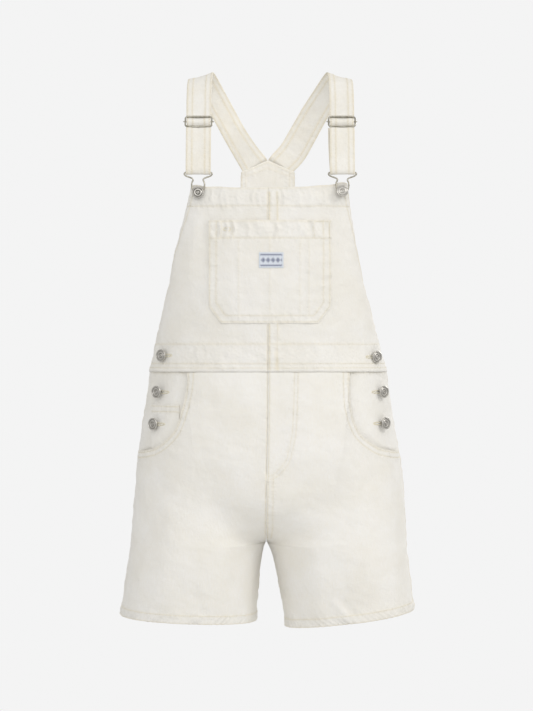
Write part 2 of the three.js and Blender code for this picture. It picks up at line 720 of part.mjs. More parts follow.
// Closed wire along a flat loop of points; across is the normal of the loop's plane
function wireLoop(points, across, radius, sides) {
  const grid = points.map((point, i) => {
    const before = points[(i + points.length - 1) % points.length];
    const after = points[(i + 1) % points.length];
    const along = after.clone().sub(before).normalize();
    const outward = along.clone().cross(across).normalize();
    return Array.from({ length: sides }, (unused, k) => {
      const angle = 2 * Math.PI * k / sides;
      return point.clone()
        .addScaledVector(outward, radius * Math.cos(angle))
        .addScaledVector(across, radius * Math.sin(angle));
    });
  });
  const positions = grid.flat().flatMap((p) => [p.x, p.y, p.z]);
  const indices = [];
  for (let i = 0; i < points.length; i += 1) {
    for (let k = 0; k < sides; k += 1) {
      const a = i * sides + k;
      const b = i * sides + ((k + 1) % sides);
      const c = ((i + 1) % points.length) * sides + ((k + 1) % sides);
      const d = ((i + 1) % points.length) * sides + k;
      indices.push(a, b, c, a, c, d);
    }
  }
  return closedGeometry(positions, indices);
}

function toManifold(geometry) {
  const bare = geometry.clone();
  bare.deleteAttribute('normal');
  bare.deleteAttribute('uv');
  const merged = mergeVertices(bare, 1e-4);
  return new wasm.Manifold(new wasm.Mesh({
    numProp: 3,
    vertProperties: new Float32Array(merged.attributes.position.array),
    triVerts: new Uint32Array(merged.index.array),
  }));
}

function fromManifold(solid) {
  const mesh = solid.getMesh();
  const geometry = new THREE.BufferGeometry();
  geometry.setAttribute('position', new THREE.BufferAttribute(mesh.vertProperties, 3));
  geometry.setIndex(new THREE.BufferAttribute(mesh.triVerts, 1));
  return geometry;
}

// Slider: rounded wire frame joined with a bar whose ends taper to points
function slider(side) {
  const corner = 3.2;
  const corners = [[1, 1], [-1, 1], [-1, -1], [1, -1]];
  const points = corners.flatMap(([sx, sz], k) => steps(4).map((t) => {
    const angle = (k + t) * Math.PI / 2;
    return new THREE.Vector3(
      sx * (SLIDER.halfWidth - corner) + corner * Math.cos(angle),
      0,
      sz * (SLIDER.halfHeight - corner) + corner * Math.sin(angle),
    );
  }));
  const frame = wireLoop(points, new THREE.Vector3(0, 1, 0), SLIDER.wire, 8);
  const profile = [
    new THREE.Vector2(0, -SLIDER.pin),
    new THREE.Vector2(0.5, -SLIDER.pin + 0.4),
    new THREE.Vector2(SLIDER.bar, -SLIDER.halfWidth),
    new THREE.Vector2(SLIDER.bar, SLIDER.halfWidth),
    new THREE.Vector2(0.5, SLIDER.pin - 0.4),
    new THREE.Vector2(0, SLIDER.pin),
  ];
  const bar = new THREE.LatheGeometry(profile, 10);
  bar.rotateZ(Math.PI / 2);
  const joined = fromManifold(toManifold(frame).add(toManifold(bar)));
  const mesh = addPiece(`slider_${side}`, joined, oldNickel);
  mesh.position.set(STRAP_FRONT_X[side], SLIDER.y, SLIDER.z);
  mesh.rotation.x = -SLIDER.tilt * Math.PI / 180;
  return mesh;
}
slider('left');
slider('right');

// Hook: one wire loop, its bar inside the strap's fold and its narrow end round the button's shank
function hook(side) {
  const curve = new THREE.CatmullRomCurve3(
    [...HOOK, ...HOOK.slice(1, -1).reverse().map((p) => ({ x: -p.x, z: p.z }))]
      .map((p) => new THREE.Vector3(p.x, 0, p.z - FOLD.z)),
    true,
    'centripetal',
  );
  const points = curve.getPoints(52).slice(0, -1);
  const geometry = wireLoop(points, new THREE.Vector3(0, 1, 0), HOOK_WIRE, 7);
  const mesh = addPiece(`hook_${side}`, geometry, oldNickel);
  mesh.position.set(STRAP_FRONT_X[side], FOLD.y, FOLD.z);
  mesh.rotation.x = -HOOK_LEAN * Math.PI / 180;
  return mesh;
}
hook('left');
hook('right');

// Turned button; its foot reaches down to the cloth, foot millimetres below the profile's start
function button(name, profile, place, outward, foot) {
  const shape = profile.map((p, i) => new THREE.Vector2(p.r, i < 2 ? -foot : p.h));
  const mesh = addPiece(name, new THREE.LatheGeometry(shape, BUTTON_SIDES), nickel);
  mesh.position.copy(place);
  mesh.quaternion.setFromUnitVectors(new THREE.Vector3(0, 1, 0), outward);
  return mesh;
}

for (const row of BIB_BUTTONS) {
  const tip = BIB_BUTTON_TIP * Math.PI / 180;
  const wireY = FOLD.y - Math.tan(tip) * (FOLD.z - row.z);
  const place = new THREE.Vector3(row.x, wireY + HOOK_ABOVE_RIM, row.z);
  const foot = bibY(row.x, row.z) - place.y - LAYER_GAP;
  button(row.name, BIB_BUTTON, place, new THREE.Vector3(0, -Math.cos(tip), Math.sin(tip)), foot - 1);
}

for (const row of SIDE_BUTTONS) {
  const side = row.x < 0 ? 'left' : 'right';
  const turn = row.turn * Math.PI / 180;
  const outward = new THREE.Vector3(Math.sin(turn), -Math.cos(turn), 0);
  const place = row.z > WAIST_Z
    ? new THREE.Vector3(row.x, bibY(row.x, row.z), row.z)
    : legPoint(side, 'front', row.z, columnAt(side, 'front', row.z, row.x));
  button(row.name, SIDE_BUTTON, place.addScaledVector(outward, BUTTON_LIFT), outward, row.depth * 1.15 + 0.6);
}

export default shortalls;
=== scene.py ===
"""Off-white denim shortalls in the hollow form they have when worn: add-on operators and stage.

Lengths in the tables are millimetres. +Z is up, the front faces -Y, and left is -X.
"""
import math

import bpy
import numpy as np
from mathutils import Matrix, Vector
from mathutils.bvhtree import BVHTree


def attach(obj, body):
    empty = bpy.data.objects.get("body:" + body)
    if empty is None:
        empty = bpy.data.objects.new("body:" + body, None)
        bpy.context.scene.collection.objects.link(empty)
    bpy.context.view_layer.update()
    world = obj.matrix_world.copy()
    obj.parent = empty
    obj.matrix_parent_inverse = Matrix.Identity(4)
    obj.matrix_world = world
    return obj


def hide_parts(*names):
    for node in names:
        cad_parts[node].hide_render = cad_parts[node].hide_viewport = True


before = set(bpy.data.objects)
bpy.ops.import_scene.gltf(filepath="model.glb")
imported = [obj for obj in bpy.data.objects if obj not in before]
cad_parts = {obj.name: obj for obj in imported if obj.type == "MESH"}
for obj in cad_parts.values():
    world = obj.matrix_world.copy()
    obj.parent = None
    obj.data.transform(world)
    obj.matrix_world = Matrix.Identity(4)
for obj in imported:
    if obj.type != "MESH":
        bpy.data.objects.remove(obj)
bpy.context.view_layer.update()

bl_info = {
    "name": "Shortalls",
    "version": (1, 0, 0),
    "blender": (4, 5, 0),
    "location": "3D View > Sidebar > Shortalls",
    "description": "Builds denim bib shorts with their straps, hardware, stitching and stage",
    "category": "Object",
}

MM = 0.001
SIGN = {"left": -1, "right": 1}


def table(names, *rows):
    """Rows of values as dictionaries that share the names of their columns."""
    return [dict(zip(names.split(), row)) for row in rows]


# Cloth: how thick it is, the gaps between layers and at seams, and how thin it is beside its edge
CLOTH = 1.4
HEM_CLOTH = 2.4
STRAP_CLOTH = 1.5
LAYER_GAP = 0.3
SEAM_GAP = 0.2
BESIDE_EDGE = 0.35

# Heights and centre lines that the panels share, and how square a section of body and leg is
WAIST_Z = -411
CROTCH_Z = -650
TURN_Z = -548
LEG_TOP_Z = WAIST_Z - 0.4
BIB_TOP_Z = -162.4
BIB_LOW_Z = WAIST_Z + 0.1
BACK_TOP_Z = -126
CENTRE_X = -1
CROTCH_X = -3.8
BODY_ROUND = 2.4
LEG_ROUND = 2.2

# Seams: their heights, the steps of the grid round a turned hem, and a double seam's distances
HEM_BAND = 13
WAISTBAND_SEAMS = (-374.4, -400.9, -407)
BIB_HEM_Z = -187.5
POCKET_HEM_Z = -230.6
FRONT_SEAM_Z = -413
SCOOP_END_Z = -522.5
HEM_STEPS = (12.6, 12.2, 11.4, 10, 8.6, 7.2, 5.8, 4.4, 3.2, 2.2, 1.4, 0.8, 0.35, 0)
DOUBLE_SEAM = (1.4, 8.6)
BAND_LAP = 1.7

# Body below the waist: outline at each side, depth in front and behind, and the side seam's depth
BODY = table(
    "z left right front back side",
    (-411, -166, 164, -108, 105, 5),
    (-452, -171, 170, -114, 122, 8),
    (-490, -178, 176, -118, 135, 10),
    (-524, -182.5, 182, -120, 140, 10),
    (-564, -185.5, 187, -119, 138, 10),
    (-606, -189.5, 189.5, -116, 129, 9),
    (-650, -193, 192, -111, 117, 7),
    (-690, -198, 196, -105, 108, 5),
    (-724, -202.5, 200, -100, 101, 3),
    (-770, -210, 205, -96, 97, 0),
)

# Inner edge of each leg below the crotch
INSEAM = table(
    "z left right y",
    (-650, -4.6, -3, 8),
    (-663, -9, 3.6, 8),
    (-690, -13, 10.5, 7),
    (-724, -15.5, 16.5, 5),
    (-770, -17.5, 23, 3),
)

# Height of the hem at the inner and the outer edge of each leg
HEM = {"left": {"inner": -759.5, "outer": -751.5}, "right": {"inner": -767, "outer": -743.5}}

# Bib: half outline at each side, depth of its edge and its middle, and how square it turns
BIB = table(
    "z left right edge middle round",
    (-162.4, -105.9, 106.3, -100.3, -111.6, 2.0),
    (-205, -116, 113, -88, -115, 2.05),
    (-245, -127, 120.5, -72, -116, 2.1),
    (-286, -137, 129.5, -55, -115, 2.2),
    (-327, -146.5, 140, -36, -112, 2.25),
    (-365, -156.2, 151, -13, -109, 2.3),
    (-386, -160.8, 157.2, 1.6, -108, 2.35),
    (-411, -166, 164, 4.2, -108, 2.4),
)

# Back panel: half width, depth of its edge and its middle
BACK = table(
    "z half edge middle round",
    (-126, 38.5, 96.5, 98, 2.0),
    (-170, 40, 97, 100, 2.0),
    (-220, 50, 95, 100, 2.0),
    (-270, 70, 88, 98, 2.1),
    (-320, 102, 68, 96, 2.2),
    (-358, 138, 36, 97, 2.3),
    (-386, 158.6, 9, 99, 2.35),
    (-411, 165, 5.8, 105, 2.4),
)
YOKE_X = -1.5
YOKE_RISE = 17

# Curved edge of each scoop pocket
SCOOP = table(
    "z left right",
    (-411, -112, 110),
    (-432, -113, 110),
    (-462, -119, 112),
    (-488, -127, 120),
    (-503, -138, 131),
    (-514, -152, 147),
    (-519.5, -166, 163),
    (-521.8, -177.5, 176),
    (-522.5, -182.3, 181.7),
)

# Broad soft folds of the legs, seen from the front and from behind: from, to, half width, height
FRONT_FOLDS = table(
    "x1 z1 x2 z2 half height",
    (-24, -606, -125, -690, 24, 2.0),
    (-16, -560, -95, -590, 17, -0.8),
    (-60, -640, -70, -750, 20, 3.2),
    (-120, -560, -150, -740, 22, 3.0),
    (20, -600, 112, -664, 23, 2.0),
    (12, -550, 80, -570, 16, -0.8),
    (60, -640, 66, -755, 17, 3.4),
    (120, -560, 140, -735, 22, 2.6),
)
BACK_FOLDS = table(
    "x1 z1 x2 z2 half height",
    (-20, -600, -116, -640, 22, 2.6),
    (-50, -650, -64, -752, 20, 3.2),
    (-120, -540, -146, -730, 22, 3.2),
    (18, -598, 108, -648, 22, 2.6),
    (62, -650, 60, -750, 19, 3.0),
    (126, -550, 140, -732, 22, 2.6),
)

# Small creases pressed into the front and the back, in the same terms
FRONT_CREASES = table(
    "x1 z1 x2 z2 half height",
    (-30, -430, -24, -520, 9, 0.5),
    (-80, -425, -66, -540, 12, -0.6),
    (60, -425, 52, -530, 11, 0.6),
    (-10, -628, -52, -600, 7, -0.9),
    (-12, -636, -58, -618, 7, 0.4),
    (6, -622, 56, -590, 7, -0.9),
    (8, -634, 60, -612, 7, 0.4),
    (-150, -560, -118, -600, 10, -0.7),
    (150, -545, 118, -588, 10, -0.8),
    (84, -722, 108, -748, 5.5, 1.5),
    (96, -720, 118, -746, 5.5, -1.1),
    (-104, -700, -88, -746, 8, -0.7),
    (-170, -660, -176, -740, 9, 0.8),
    (168, -640, 178, -736, 9, 0.8),
)
BIB_CREASES = table(
    "x1 z1 x2 z2 half height",
    (-96, -192, -112, -300, 7, 0.9),
    (-86, -200, -94, -330, 8, -0.7),
    (98, -190, 112, -290, 7, 0.8),
    (-118, -350, -60, -372, 8, -0.6),
    (50, -352, 118, -362, 8, 0.6),
    (-40, -352, 20, -358, 7, 0.5),
    (-130, -300, -140, -372, 8, 0.6),
)
BACK_CREASES = table(
    "x1 z1 x2 z2 half height",
    (-12, -626, -60, -596, 8, -0.9),
    (8, -626, 58, -598, 8, -0.9),
    (-90, -330, -30, -352, 9, 0.7),
    (84, -334, 26, -356, 9, -0.7),
    (-36, -210, -30, -300, 9, 0.6),
    (30, -206, 34, -290, 9, -0.6),
    (-160, -560, -118, -600, 10, -0.8),
    (160, -556, 122, -596, 10, -0.8),
)
POCKET_CREASES = table(
    "x1 z1 x2 z2 half height",
    (-60, -250, -44, -330, 9, 0.5),
    (40, -240, 56, -336, 10, -0.5),
    (6, -280, 4, -340, 5, 0.4),
)

# Pocket on the bib, label on the pocket and the small pocket inside the left scoop
POCKET = {"left": -82, "right": 84, "top": -206.5, "bottom": -346.5, "chamfer_x": 17, "chamfer_z": 22}
PRESSED_THROUGH = (-40.6, 1.2, 41.9, 54)
POCKET_TACKS = ((-65, -48.5), (60.5, 81))
LABEL = {"x": 2.9, "z": -261, "width": 33, "height": 21}
COIN = {"left": -163, "right": -124, "top": -457, "bottom": -532}
LABEL_CLOTH = 1.0
COIN_CLOTH = 1.0
COIN_DEPTH = CLOTH + 0.9
FACING_DEPTH = COIN_DEPTH + COIN_CLOTH + 0.6
FACING_LAP = 24

# Straps behind: the left one's middle line, the slope of the width in degrees seen from the front,
# the width, and how much narrower the left one is on its inner edge
STRAP_BACK = table(
    "x y z width slope slim",
    (-21.2, 97, -115.2, 39, 25, 0),
    (-31, 92.5, -97.5, 40, 29, 4.2),
    (-45, 83, -74, 39.5, 31, 6),
    (-61, 67, -46.5, 38.5, 31, 5.5),
    (-77, 48, -22, 37, 29, 3),
    (-88, 26, -6, 36, 24, 1.2),
    (-94.5, 4, 0.5, 35, 17, 0),
    (-96.2, -19, -8, 34.5, 9, 0),
    (-96.6, -40, -25, 34, 3, 0),
    (-96.5, -58, -42, 34, 0, 0),
)
STRAP_BELOW = table(
    "y z",
    (-97.6, -100),
    (-102, -118),
    (-108.5, -136),
)
STRAP_RETURN = table(
    "y z aside",
    (-103.1, -135, 0.2),
    (-99.1, -118, 1.2),
    (-94.4, -101, 1.8),
    (-88.6, -88, 1.9),
    (-84.4, -80, 1.9),
)
STRAP_FRONT_X = {"left": -96, "right": 99.5}
STRAP_MIDDLE_X = 1.75
STRAP_WAVE = 2.5
STRAP_SEEN_INSIDE = 190
STRAP_UNDER_YOKE = 2.6
STRAP_IN_SLIDER = 32.6
STRAP_SEAMS = (1.7, 8.2)
STRAP_WIDTH = 34
SLIDER = {"y": -84.5, "z": -71, "tilt": 27, "half_width": 18.1, "half_height": 7.8, "pin": 21.3}
SLIDER_WIRE = 1.1
WIRE_SIDES = 14
FOLD = {"y": -106, "z": -141.5, "radius": 2.3}

# Hook: half of its outline from the middle of its bar to the bottom of its loop
HOOK_WIRE = 1.05
HOOK_LEAN = 10
HOOK = [
    (0, -141.5), (14.5, -141.5), (18.2, -142.6), (18.6, -144.8), (16.2, -147), (11.4, -148.8),
    (7.6, -150.6), (7.0, -153), (8.5, -156.5), (8.6, -160.5), (7.4, -166), (5.0, -171.2),
    (2.2, -173.8), (0, -174.4),
]

# Metal buttons: radius and distance out from the cloth
BIB_BUTTON = [
    (0, 0), (2.5, 0), (2.6, 0.3), (6.2, 0.25), (6.55, 0.45), (6.6, 0.8), (6.2, 1.2), (5.6, 1.35),
    (2.6, 1.5), (2.4, 4.6), (7.2, 4.85), (7.8, 5.2), (8.08, 5.7), (8.05, 6.2), (7.8, 6.7), (7.35, 7.05),
    (6.9, 7.08), (6.55, 6.8), (6.25, 6.35), (5.85, 6.3), (5.5, 6.6), (5.0, 6.85), (4.4, 6.95), (3.6, 6.9),
    (3.2, 6.6), (2.9, 6.15), (2.5, 6.1), (2.15, 6.5), (1.8, 6.85), (1.1, 6.9), (0.6, 6.4), (0, 6.3),
]
SIDE_BUTTON = [
    (0, 0), (2.3, 0), (2.2, 2.9), (7.5, 3.15), (8.2, 3.5), (8.5, 4.0), (8.45, 4.5), (8.2, 5.0),
    (7.7, 5.35), (7.2, 5.38), (6.85, 5.1), (6.55, 4.65), (6.15, 4.6), (5.8, 4.9), (5.2, 5.15),
    (4.6, 5.24), (3.8, 5.2), (3.4, 4.9), (3.1, 4.45), (2.7, 4.4), (2.35, 4.8), (1.9, 5.1), (1.1, 5.15),
    (0.6, 4.7), (0, 4.6),
]
SIDE_BUTTONS = table(
    "name x z turn depth",
    ("side_button_left_1", -145, -390, -38, 0),
    ("side_button_left_2", -151, -440, -40, FACING_DEPTH),
    ("side_button_left_3", -155.5, -484, -42, COIN_DEPTH),
    ("side_button_right_1", 145, -392, 38, 0),
    ("side_button_right_2", 154.5, -440, 40, FACING_DEPTH),
    ("side_button_right_3", 156.5, -483, 42, FACING_DEPTH),
)
# Bib buttons: name, place, and how much painted shade each gets; the left one is painted darker, the right
# one lighter
BIB_BUTTONS = table(
    "name x z wear",
    ("bib_button_left", -96.3, -170.4, 0.16),
    ("bib_button_right", 99.2, -168.5, -0.25),
)
HOOK_ABOVE_RIM = 3.1
BUTTON_LIFT = 2

# Fly stitching on the right front: inner of its two lines
FLY = [(34.5, -413), (33.8, -450), (31.9, -490), (27.8, -513), (22.3, -533), (8.5, -549), (0.8, -553)]
FLY_STEP = 5

# Thread: spacing of buttonhole stitches; in metres, their length and the length below which a point is a
# needle hole drawn in painted shade; and how much lengths vary
HOLE_PITCH = 0.7
HOLE_STITCH = 0.0021
SHORTEST_THREAD = 0.0015
THREAD_UNEVENNESS = 0.12

# Stage: the camera's place in millimetres, and everything else in metres
CAMERA = {"x": -3.4, "y": -3400, "z": -390, "lens": 123.04}
SIGHT = 50
BACKDROP = 0.904
BACKDROP_FROM = 0.90
BACKDROP_FULL = 0.955
KEY_FROM = (0.15, -0.98, -0.02)
KEY_COLOUR = (1.0, 0.985, 0.96)
KEY_PLACE = (2.0, -1.5, 1.2)
FRONT_PLACE = (-0.4, -2.7, 0.7)
NECK_PLACE = (-0.02, -0.02, -0.08)
KEY_LEVEL = 1.04
FILL_LEVEL = 0.44
BACK_PLACE = (1.0, 2.4, 0.5)
KEY_SIZE = 0.7
FRONT_SIZE = 1.0
NECK_SIZE = 0.1
BACK_SIZE = 1.0
BIB_MIDDLE = (0, 0, -0.2)
WAIST_MIDDLE = (0, 0, -0.4)
FLOOR_Z = -1.33
FLOOR = {"left": -9, "right": 9, "near": -14, "far": 2.2}
FLOOR_COLOUR = (0.82, 0.82, 0.81)


# Numbers


def mix(a, b, t):
    return a + (b - a) * t


def smooth(t):
    c = np.clip(t, 0, 1)
    return c * c * (3 - 2 * c)


def hermite(a, b, slope_a, slope_b, t):
    """Smooth value from a to b that leaves and arrives with the given slopes."""
    t2, t3 = t * t, t * t * t
    return (
        (2 * t3 - 3 * t2 + 1) * a + (t3 - 2 * t2 + t) * slope_a
        + (3 * t2 - 2 * t3) * b + (t3 - t2) * slope_b
    )


def at(rows, name, z):
    """Value of a table's column at a height, smooth from row to row."""
    heights = np.array([row["z"] for row in rows], float)
    values = np.array([row[name] for row in rows], float)
    z = np.clip(np.asarray(z, float), heights[-1], heights[0])
    i = np.clip(np.searchsorted(-heights, -z, side="right") - 1, 0, len(heights) - 2)
    before = np.maximum(i - 1, 0)
    after = np.minimum(i + 2, len(heights) - 1)
    step = heights[i + 1] - heights[i]
    slope_a = (values[i + 1] - values[before]) / (heights[i + 1] - heights[before]) * step
    slope_b = (values[after] - values[i]) / (heights[after] - heights[i]) * step
    return hermite(values[i], values[i + 1], slope_a, slope_b, (z - heights[i]) / step)


def through(points, s):
    """Smooth curve through points, at places s counted in points from the first one."""
    points = np.asarray(points, float)
    last = len(points) - 1
    s = np.clip(np.asarray(s, float), 0, last)
    i = np.minimum(s.astype(int), last - 1)
    a, b = points[i], points[i + 1]
    before, after = points[np.maximum(i - 1, 0)], points[np.minimum(i + 2, last)]
    slope_a = (b - before) / np.where(i > 0, 2, 1)[..., None]
    slope_b = (after - a) / np.where(i + 2 <= last, 2, 1)[..., None]
    return hermite(a, b, slope_a, slope_b, (s - i)[..., None])


def unit(v):
    return v / np.maximum(np.linalg.norm(v, axis=-1, keepdims=True), 1e-9)


def together(a, b):
    """Two sets of numbers spread to one shape."""
    return np.broadcast_arrays(np.asarray(a, float), np.asarray(b, float))


def xyz(x, y, z):
    return np.stack(np.broadcast_arrays(x, y, z), axis=-1).astype(float)


def length_along(line):
    """Length of a line up to each of its points."""
    steps = np.linalg.norm(np.diff(line, axis=0), axis=1)
    return np.concatenate([[0], np.cumsum(steps)])


NOISE_SIZE = 24
NOISE = np.random.default_rng(7).uniform(-1, 1, (NOISE_SIZE,) * 3)


def noise(points, size):
    """Soft noise from -1 to 1 whose features are size millimetres across."""
    p = np.asarray(points, float) / size
    cell = np.floor(p).astype(int)
    f = p - cell
    f = f * f * (3 - 2 * f)
    total = 0
    for corner in range(8):
        bits = np.array([corner >> 2 & 1, corner >> 1 & 1, corner & 1])
        index = (cell + bits) % NOISE_SIZE
        weight = np.prod(np.where(bits == 1, f, 1 - f), axis=-1)
        total = total + weight * NOISE[index[..., 0], index[..., 1], index[..., 2]]
    return total


def fold_height(folds, x, z):
    """Height of placed folds, each a soft ridge along a line that tapers off at both ends."""
    height = 0
    for fold in folds:
        dx, dz = fold["x2"] - fold["x1"], fold["z2"] - fold["z1"]
        along = ((x - fold["x1"]) * dx + (z - fold["z1"]) * dz) / (dx * dx + dz * dz)
        near = np.clip(along, 0, 1)
        off = np.hypot(x - fold["x1"] - near * dx, z - fold["z1"] - near * dz) / fold["half"]
        taper = smooth(near * 4 + 0.2) * smooth((1 - near) * 4 + 0.2)
        height = height + fold["height"] * np.exp(-off * off) * taper
    return height


# Surfaces


def leg_share(z, t, height):
    """How far a section has turned from one body into two legs."""
    up = np.clip((z - CROTCH_Z) / height, 0, 1)
    at_seam = np.where(z <= CROTCH_Z, 1, 1 - np.sqrt(1 - (1 - up) ** 2))
    away = smooth((-520 - z) / 190)
    return mix(at_seam, away, smooth(t / 0.4))


def leg_point(side, face, z, t):
    """Point of a leg panel; t runs from the centre seam or inseam (0) to the side seam (1)."""
    sign = SIGN[side]
    front = face == "front"
    z, t = together(z, t)
    depth = at(BODY, "front" if front else "back", z)
    outer = at(BODY, side, z)
    side_y = at(BODY, "side", z)
    low = np.minimum(z, CROTCH_Z)
    inner = np.where(z > CROTCH_Z, CROTCH_X + sign * 0.5, at(INSEAM, side, low))
    inner_y = at(INSEAM, "y", low)
    centre = mix(CENTRE_X, CROTCH_X, smooth((WAIST_Z - z) / (WAIST_Z - CROTCH_Z))) + sign * SEAM_GAP
    angle = t * math.pi / 2
    body_x = centre + (outer - centre) * np.sin(angle) ** (2 / BODY_ROUND)
    body_y = side_y + (depth - side_y) * np.maximum(0, np.cos(angle)) ** (2 / BODY_ROUND)
    middle, half = (inner + outer) / 2, (outer - inner) / 2
    cosine, sine = np.cos(t * math.pi), np.maximum(0, np.sin(t * math.pi))
    leg_x = middle - half * np.sign(cosine) * np.abs(cosine) ** (2 / LEG_ROUND)
    base_y = mix(inner_y, side_y, (1 - cosine) / 2)
    leg_y = base_y + (depth - base_y) * sine ** (2 / LEG_ROUND)
    share = leg_share(z, t, 78 if front else 105)
    x = mix(body_x, leg_x, share)
    y = mix(body_y, leg_y, share) + (-SEAM_GAP if front else SEAM_GAP)
    fold = fold_height(FRONT_FOLDS if front else BACK_FOLDS, x, z) * smooth(sine * 1.6)
    return xyz(x, y + (-fold if front else fold), z)


def column_at(side, face, z, x):
    """Column of a leg panel where it reaches a given x."""
    z, x = together(z, x)
    low, high = np.zeros(z.shape), np.ones(z.shape)
    for _ in range(30):
        t = (low + high) / 2
        short = np.abs(leg_point(side, face, z, t)[..., 0]) < np.abs(x)
        low, high = np.where(short, t, low), np.where(short, high, t)
    return (low + high) / 2


def bib_point(side, z, t):
    """Point of a bib half; t runs from the centre seam (0) to its outer edge (1)."""
    sign = SIGN[side]
    z, t = together(z, t)
    power = 2 / at(BIB, "round", z)
    edge = at(BIB, "edge", z)
    start = CENTRE_X + sign * SEAM_GAP
    angle = t * math.pi / 2
    x = start + (at(BIB, side, z) - start) * np.sin(angle) ** power
    y = edge + (at(BIB, "middle", z) - edge) * np.maximum(0, np.cos(angle)) ** power
    return xyz(x, y, z)


def bib_y(x, z):
    """Depth of the bib's face at a place seen from the front."""
    outline = np.where(x < CENTRE_X, at(BIB, "left", z), at(BIB, "right", z))
    edge = at(BIB, "edge", z)
    power = at(BIB, "round", z)
    across = np.minimum(1, np.abs((x - CENTRE_X) / (outline - CENTRE_X)))
    return edge + (at(BIB, "middle", z) - edge) * (1 - across ** power) ** (1 / power)


def back_point(z, t):
    """Point of the back panel; t runs from its left edge (-1) to its right edge (1)."""
    z, t = together(z, t)
    power = 2 / at(BACK, "round", z)
    edge = at(BACK, "edge", z)
    angle = t * math.pi / 2
    across = np.sign(angle) * np.abs(np.sin(angle)) ** power
    deep = np.maximum(0, np.cos(angle)) ** power
    rise = smooth((z + 170) / 44) * YOKE_RISE * (1 - np.abs(across))
    x = YOKE_X + at(BACK, "half", z) * across
    return xyz(x, edge + (at(BACK, "middle", z) - edge) * deep, z + rise)


def pocket_point(z, t):
    """Point of the bib's face under the pocket; t runs from its left edge (0) to its right (1)."""
    z, t = together(z, t)
    cut = np.clip((POCKET["bottom"] + POCKET["chamfer_z"] - z) / POCKET["chamfer_z"], 0, 1)
    left = POCKET["left"] + POCKET["chamfer_x"] * cut
    right = POCKET["right"] - POCKET["chamfer_x"] * cut
    x = mix(left, right, t)
    return xyz(x, bib_y(x, z), z)


def label_point(z, t):
    x = LABEL["x"] + (np.asarray(t, float) - 0.5) * LABEL["width"]
    x, z = np.broadcast_arrays(x, np.asarray(z, float))
    return xyz(x, bib_y(x, z), z)


class Surface:
    """A piece's face as a function of height and column; turned is -1 where rows run backwards."""

    def __init__(self, point, turned=1, low=0.0, high=1.0):
        self.point = point
        self.turned = turned
        self.low = low
        self.high = high

    def slopes(self, z, t):
        near = 0.004
        a, b = np.maximum(self.low, t - near), np.minimum(self.high, t + near)
        across = (self.point(z, b) - self.point(z, a)) / (b - a)[..., None]
        down = (self.point(z - 1.0, t) - self.point(z + 1.0, t)) / -2.0
        return across, down

    def normal(self, z, t):
        across, down = self.slopes(z, np.asarray(t, float))
        return unit(np.cross(across, -down)) * self.turned

    def grid(self, z, t):
        """Points of a grid of heights and columns, and the face's direction at each."""
        return self.point(z, t), self.normal(z, t)

    def column(self, z, distance, from_high=False):
        """Column that lies a distance along each row from one of its ends."""
        places = np.linspace(self.low, self.high, 241)
        found = []
        for height in np.atleast_1d(z):
            row = self.point(height, places)
            along = length_along(row)
            wanted = along[-1] - distance if from_high else distance
            found.append(np.interp(wanted, along, places))
        return np.array(found)

    def line(self, z, t, shift=0.0):
        """Points of a line given by heights and columns, moved sideways on the face by shift."""
        z, t = (np.array(v, float) for v in np.broadcast_arrays(z, t))
        points = self.point(z, t)
        if shift:
            across, down = self.slopes(z, t)
            side = unit(np.cross(unit(np.cross(across, down)), unit(np.gradient(points, axis=0))))
            aa, ad, dd = ((x * y).sum(-1) for x, y in ((across, across), (across, down), (down, down)))
            sa, sd = (side * across).sum(-1) * shift, (side * down).sum(-1) * shift
            bottom = aa * dd - ad * ad
            t = np.clip(t + (sa * dd - sd * ad) / bottom, self.low, self.high)
            z = z + (sd * aa - sa * ad) / bottom
            points = self.point(z, t)
        return points


# Seams


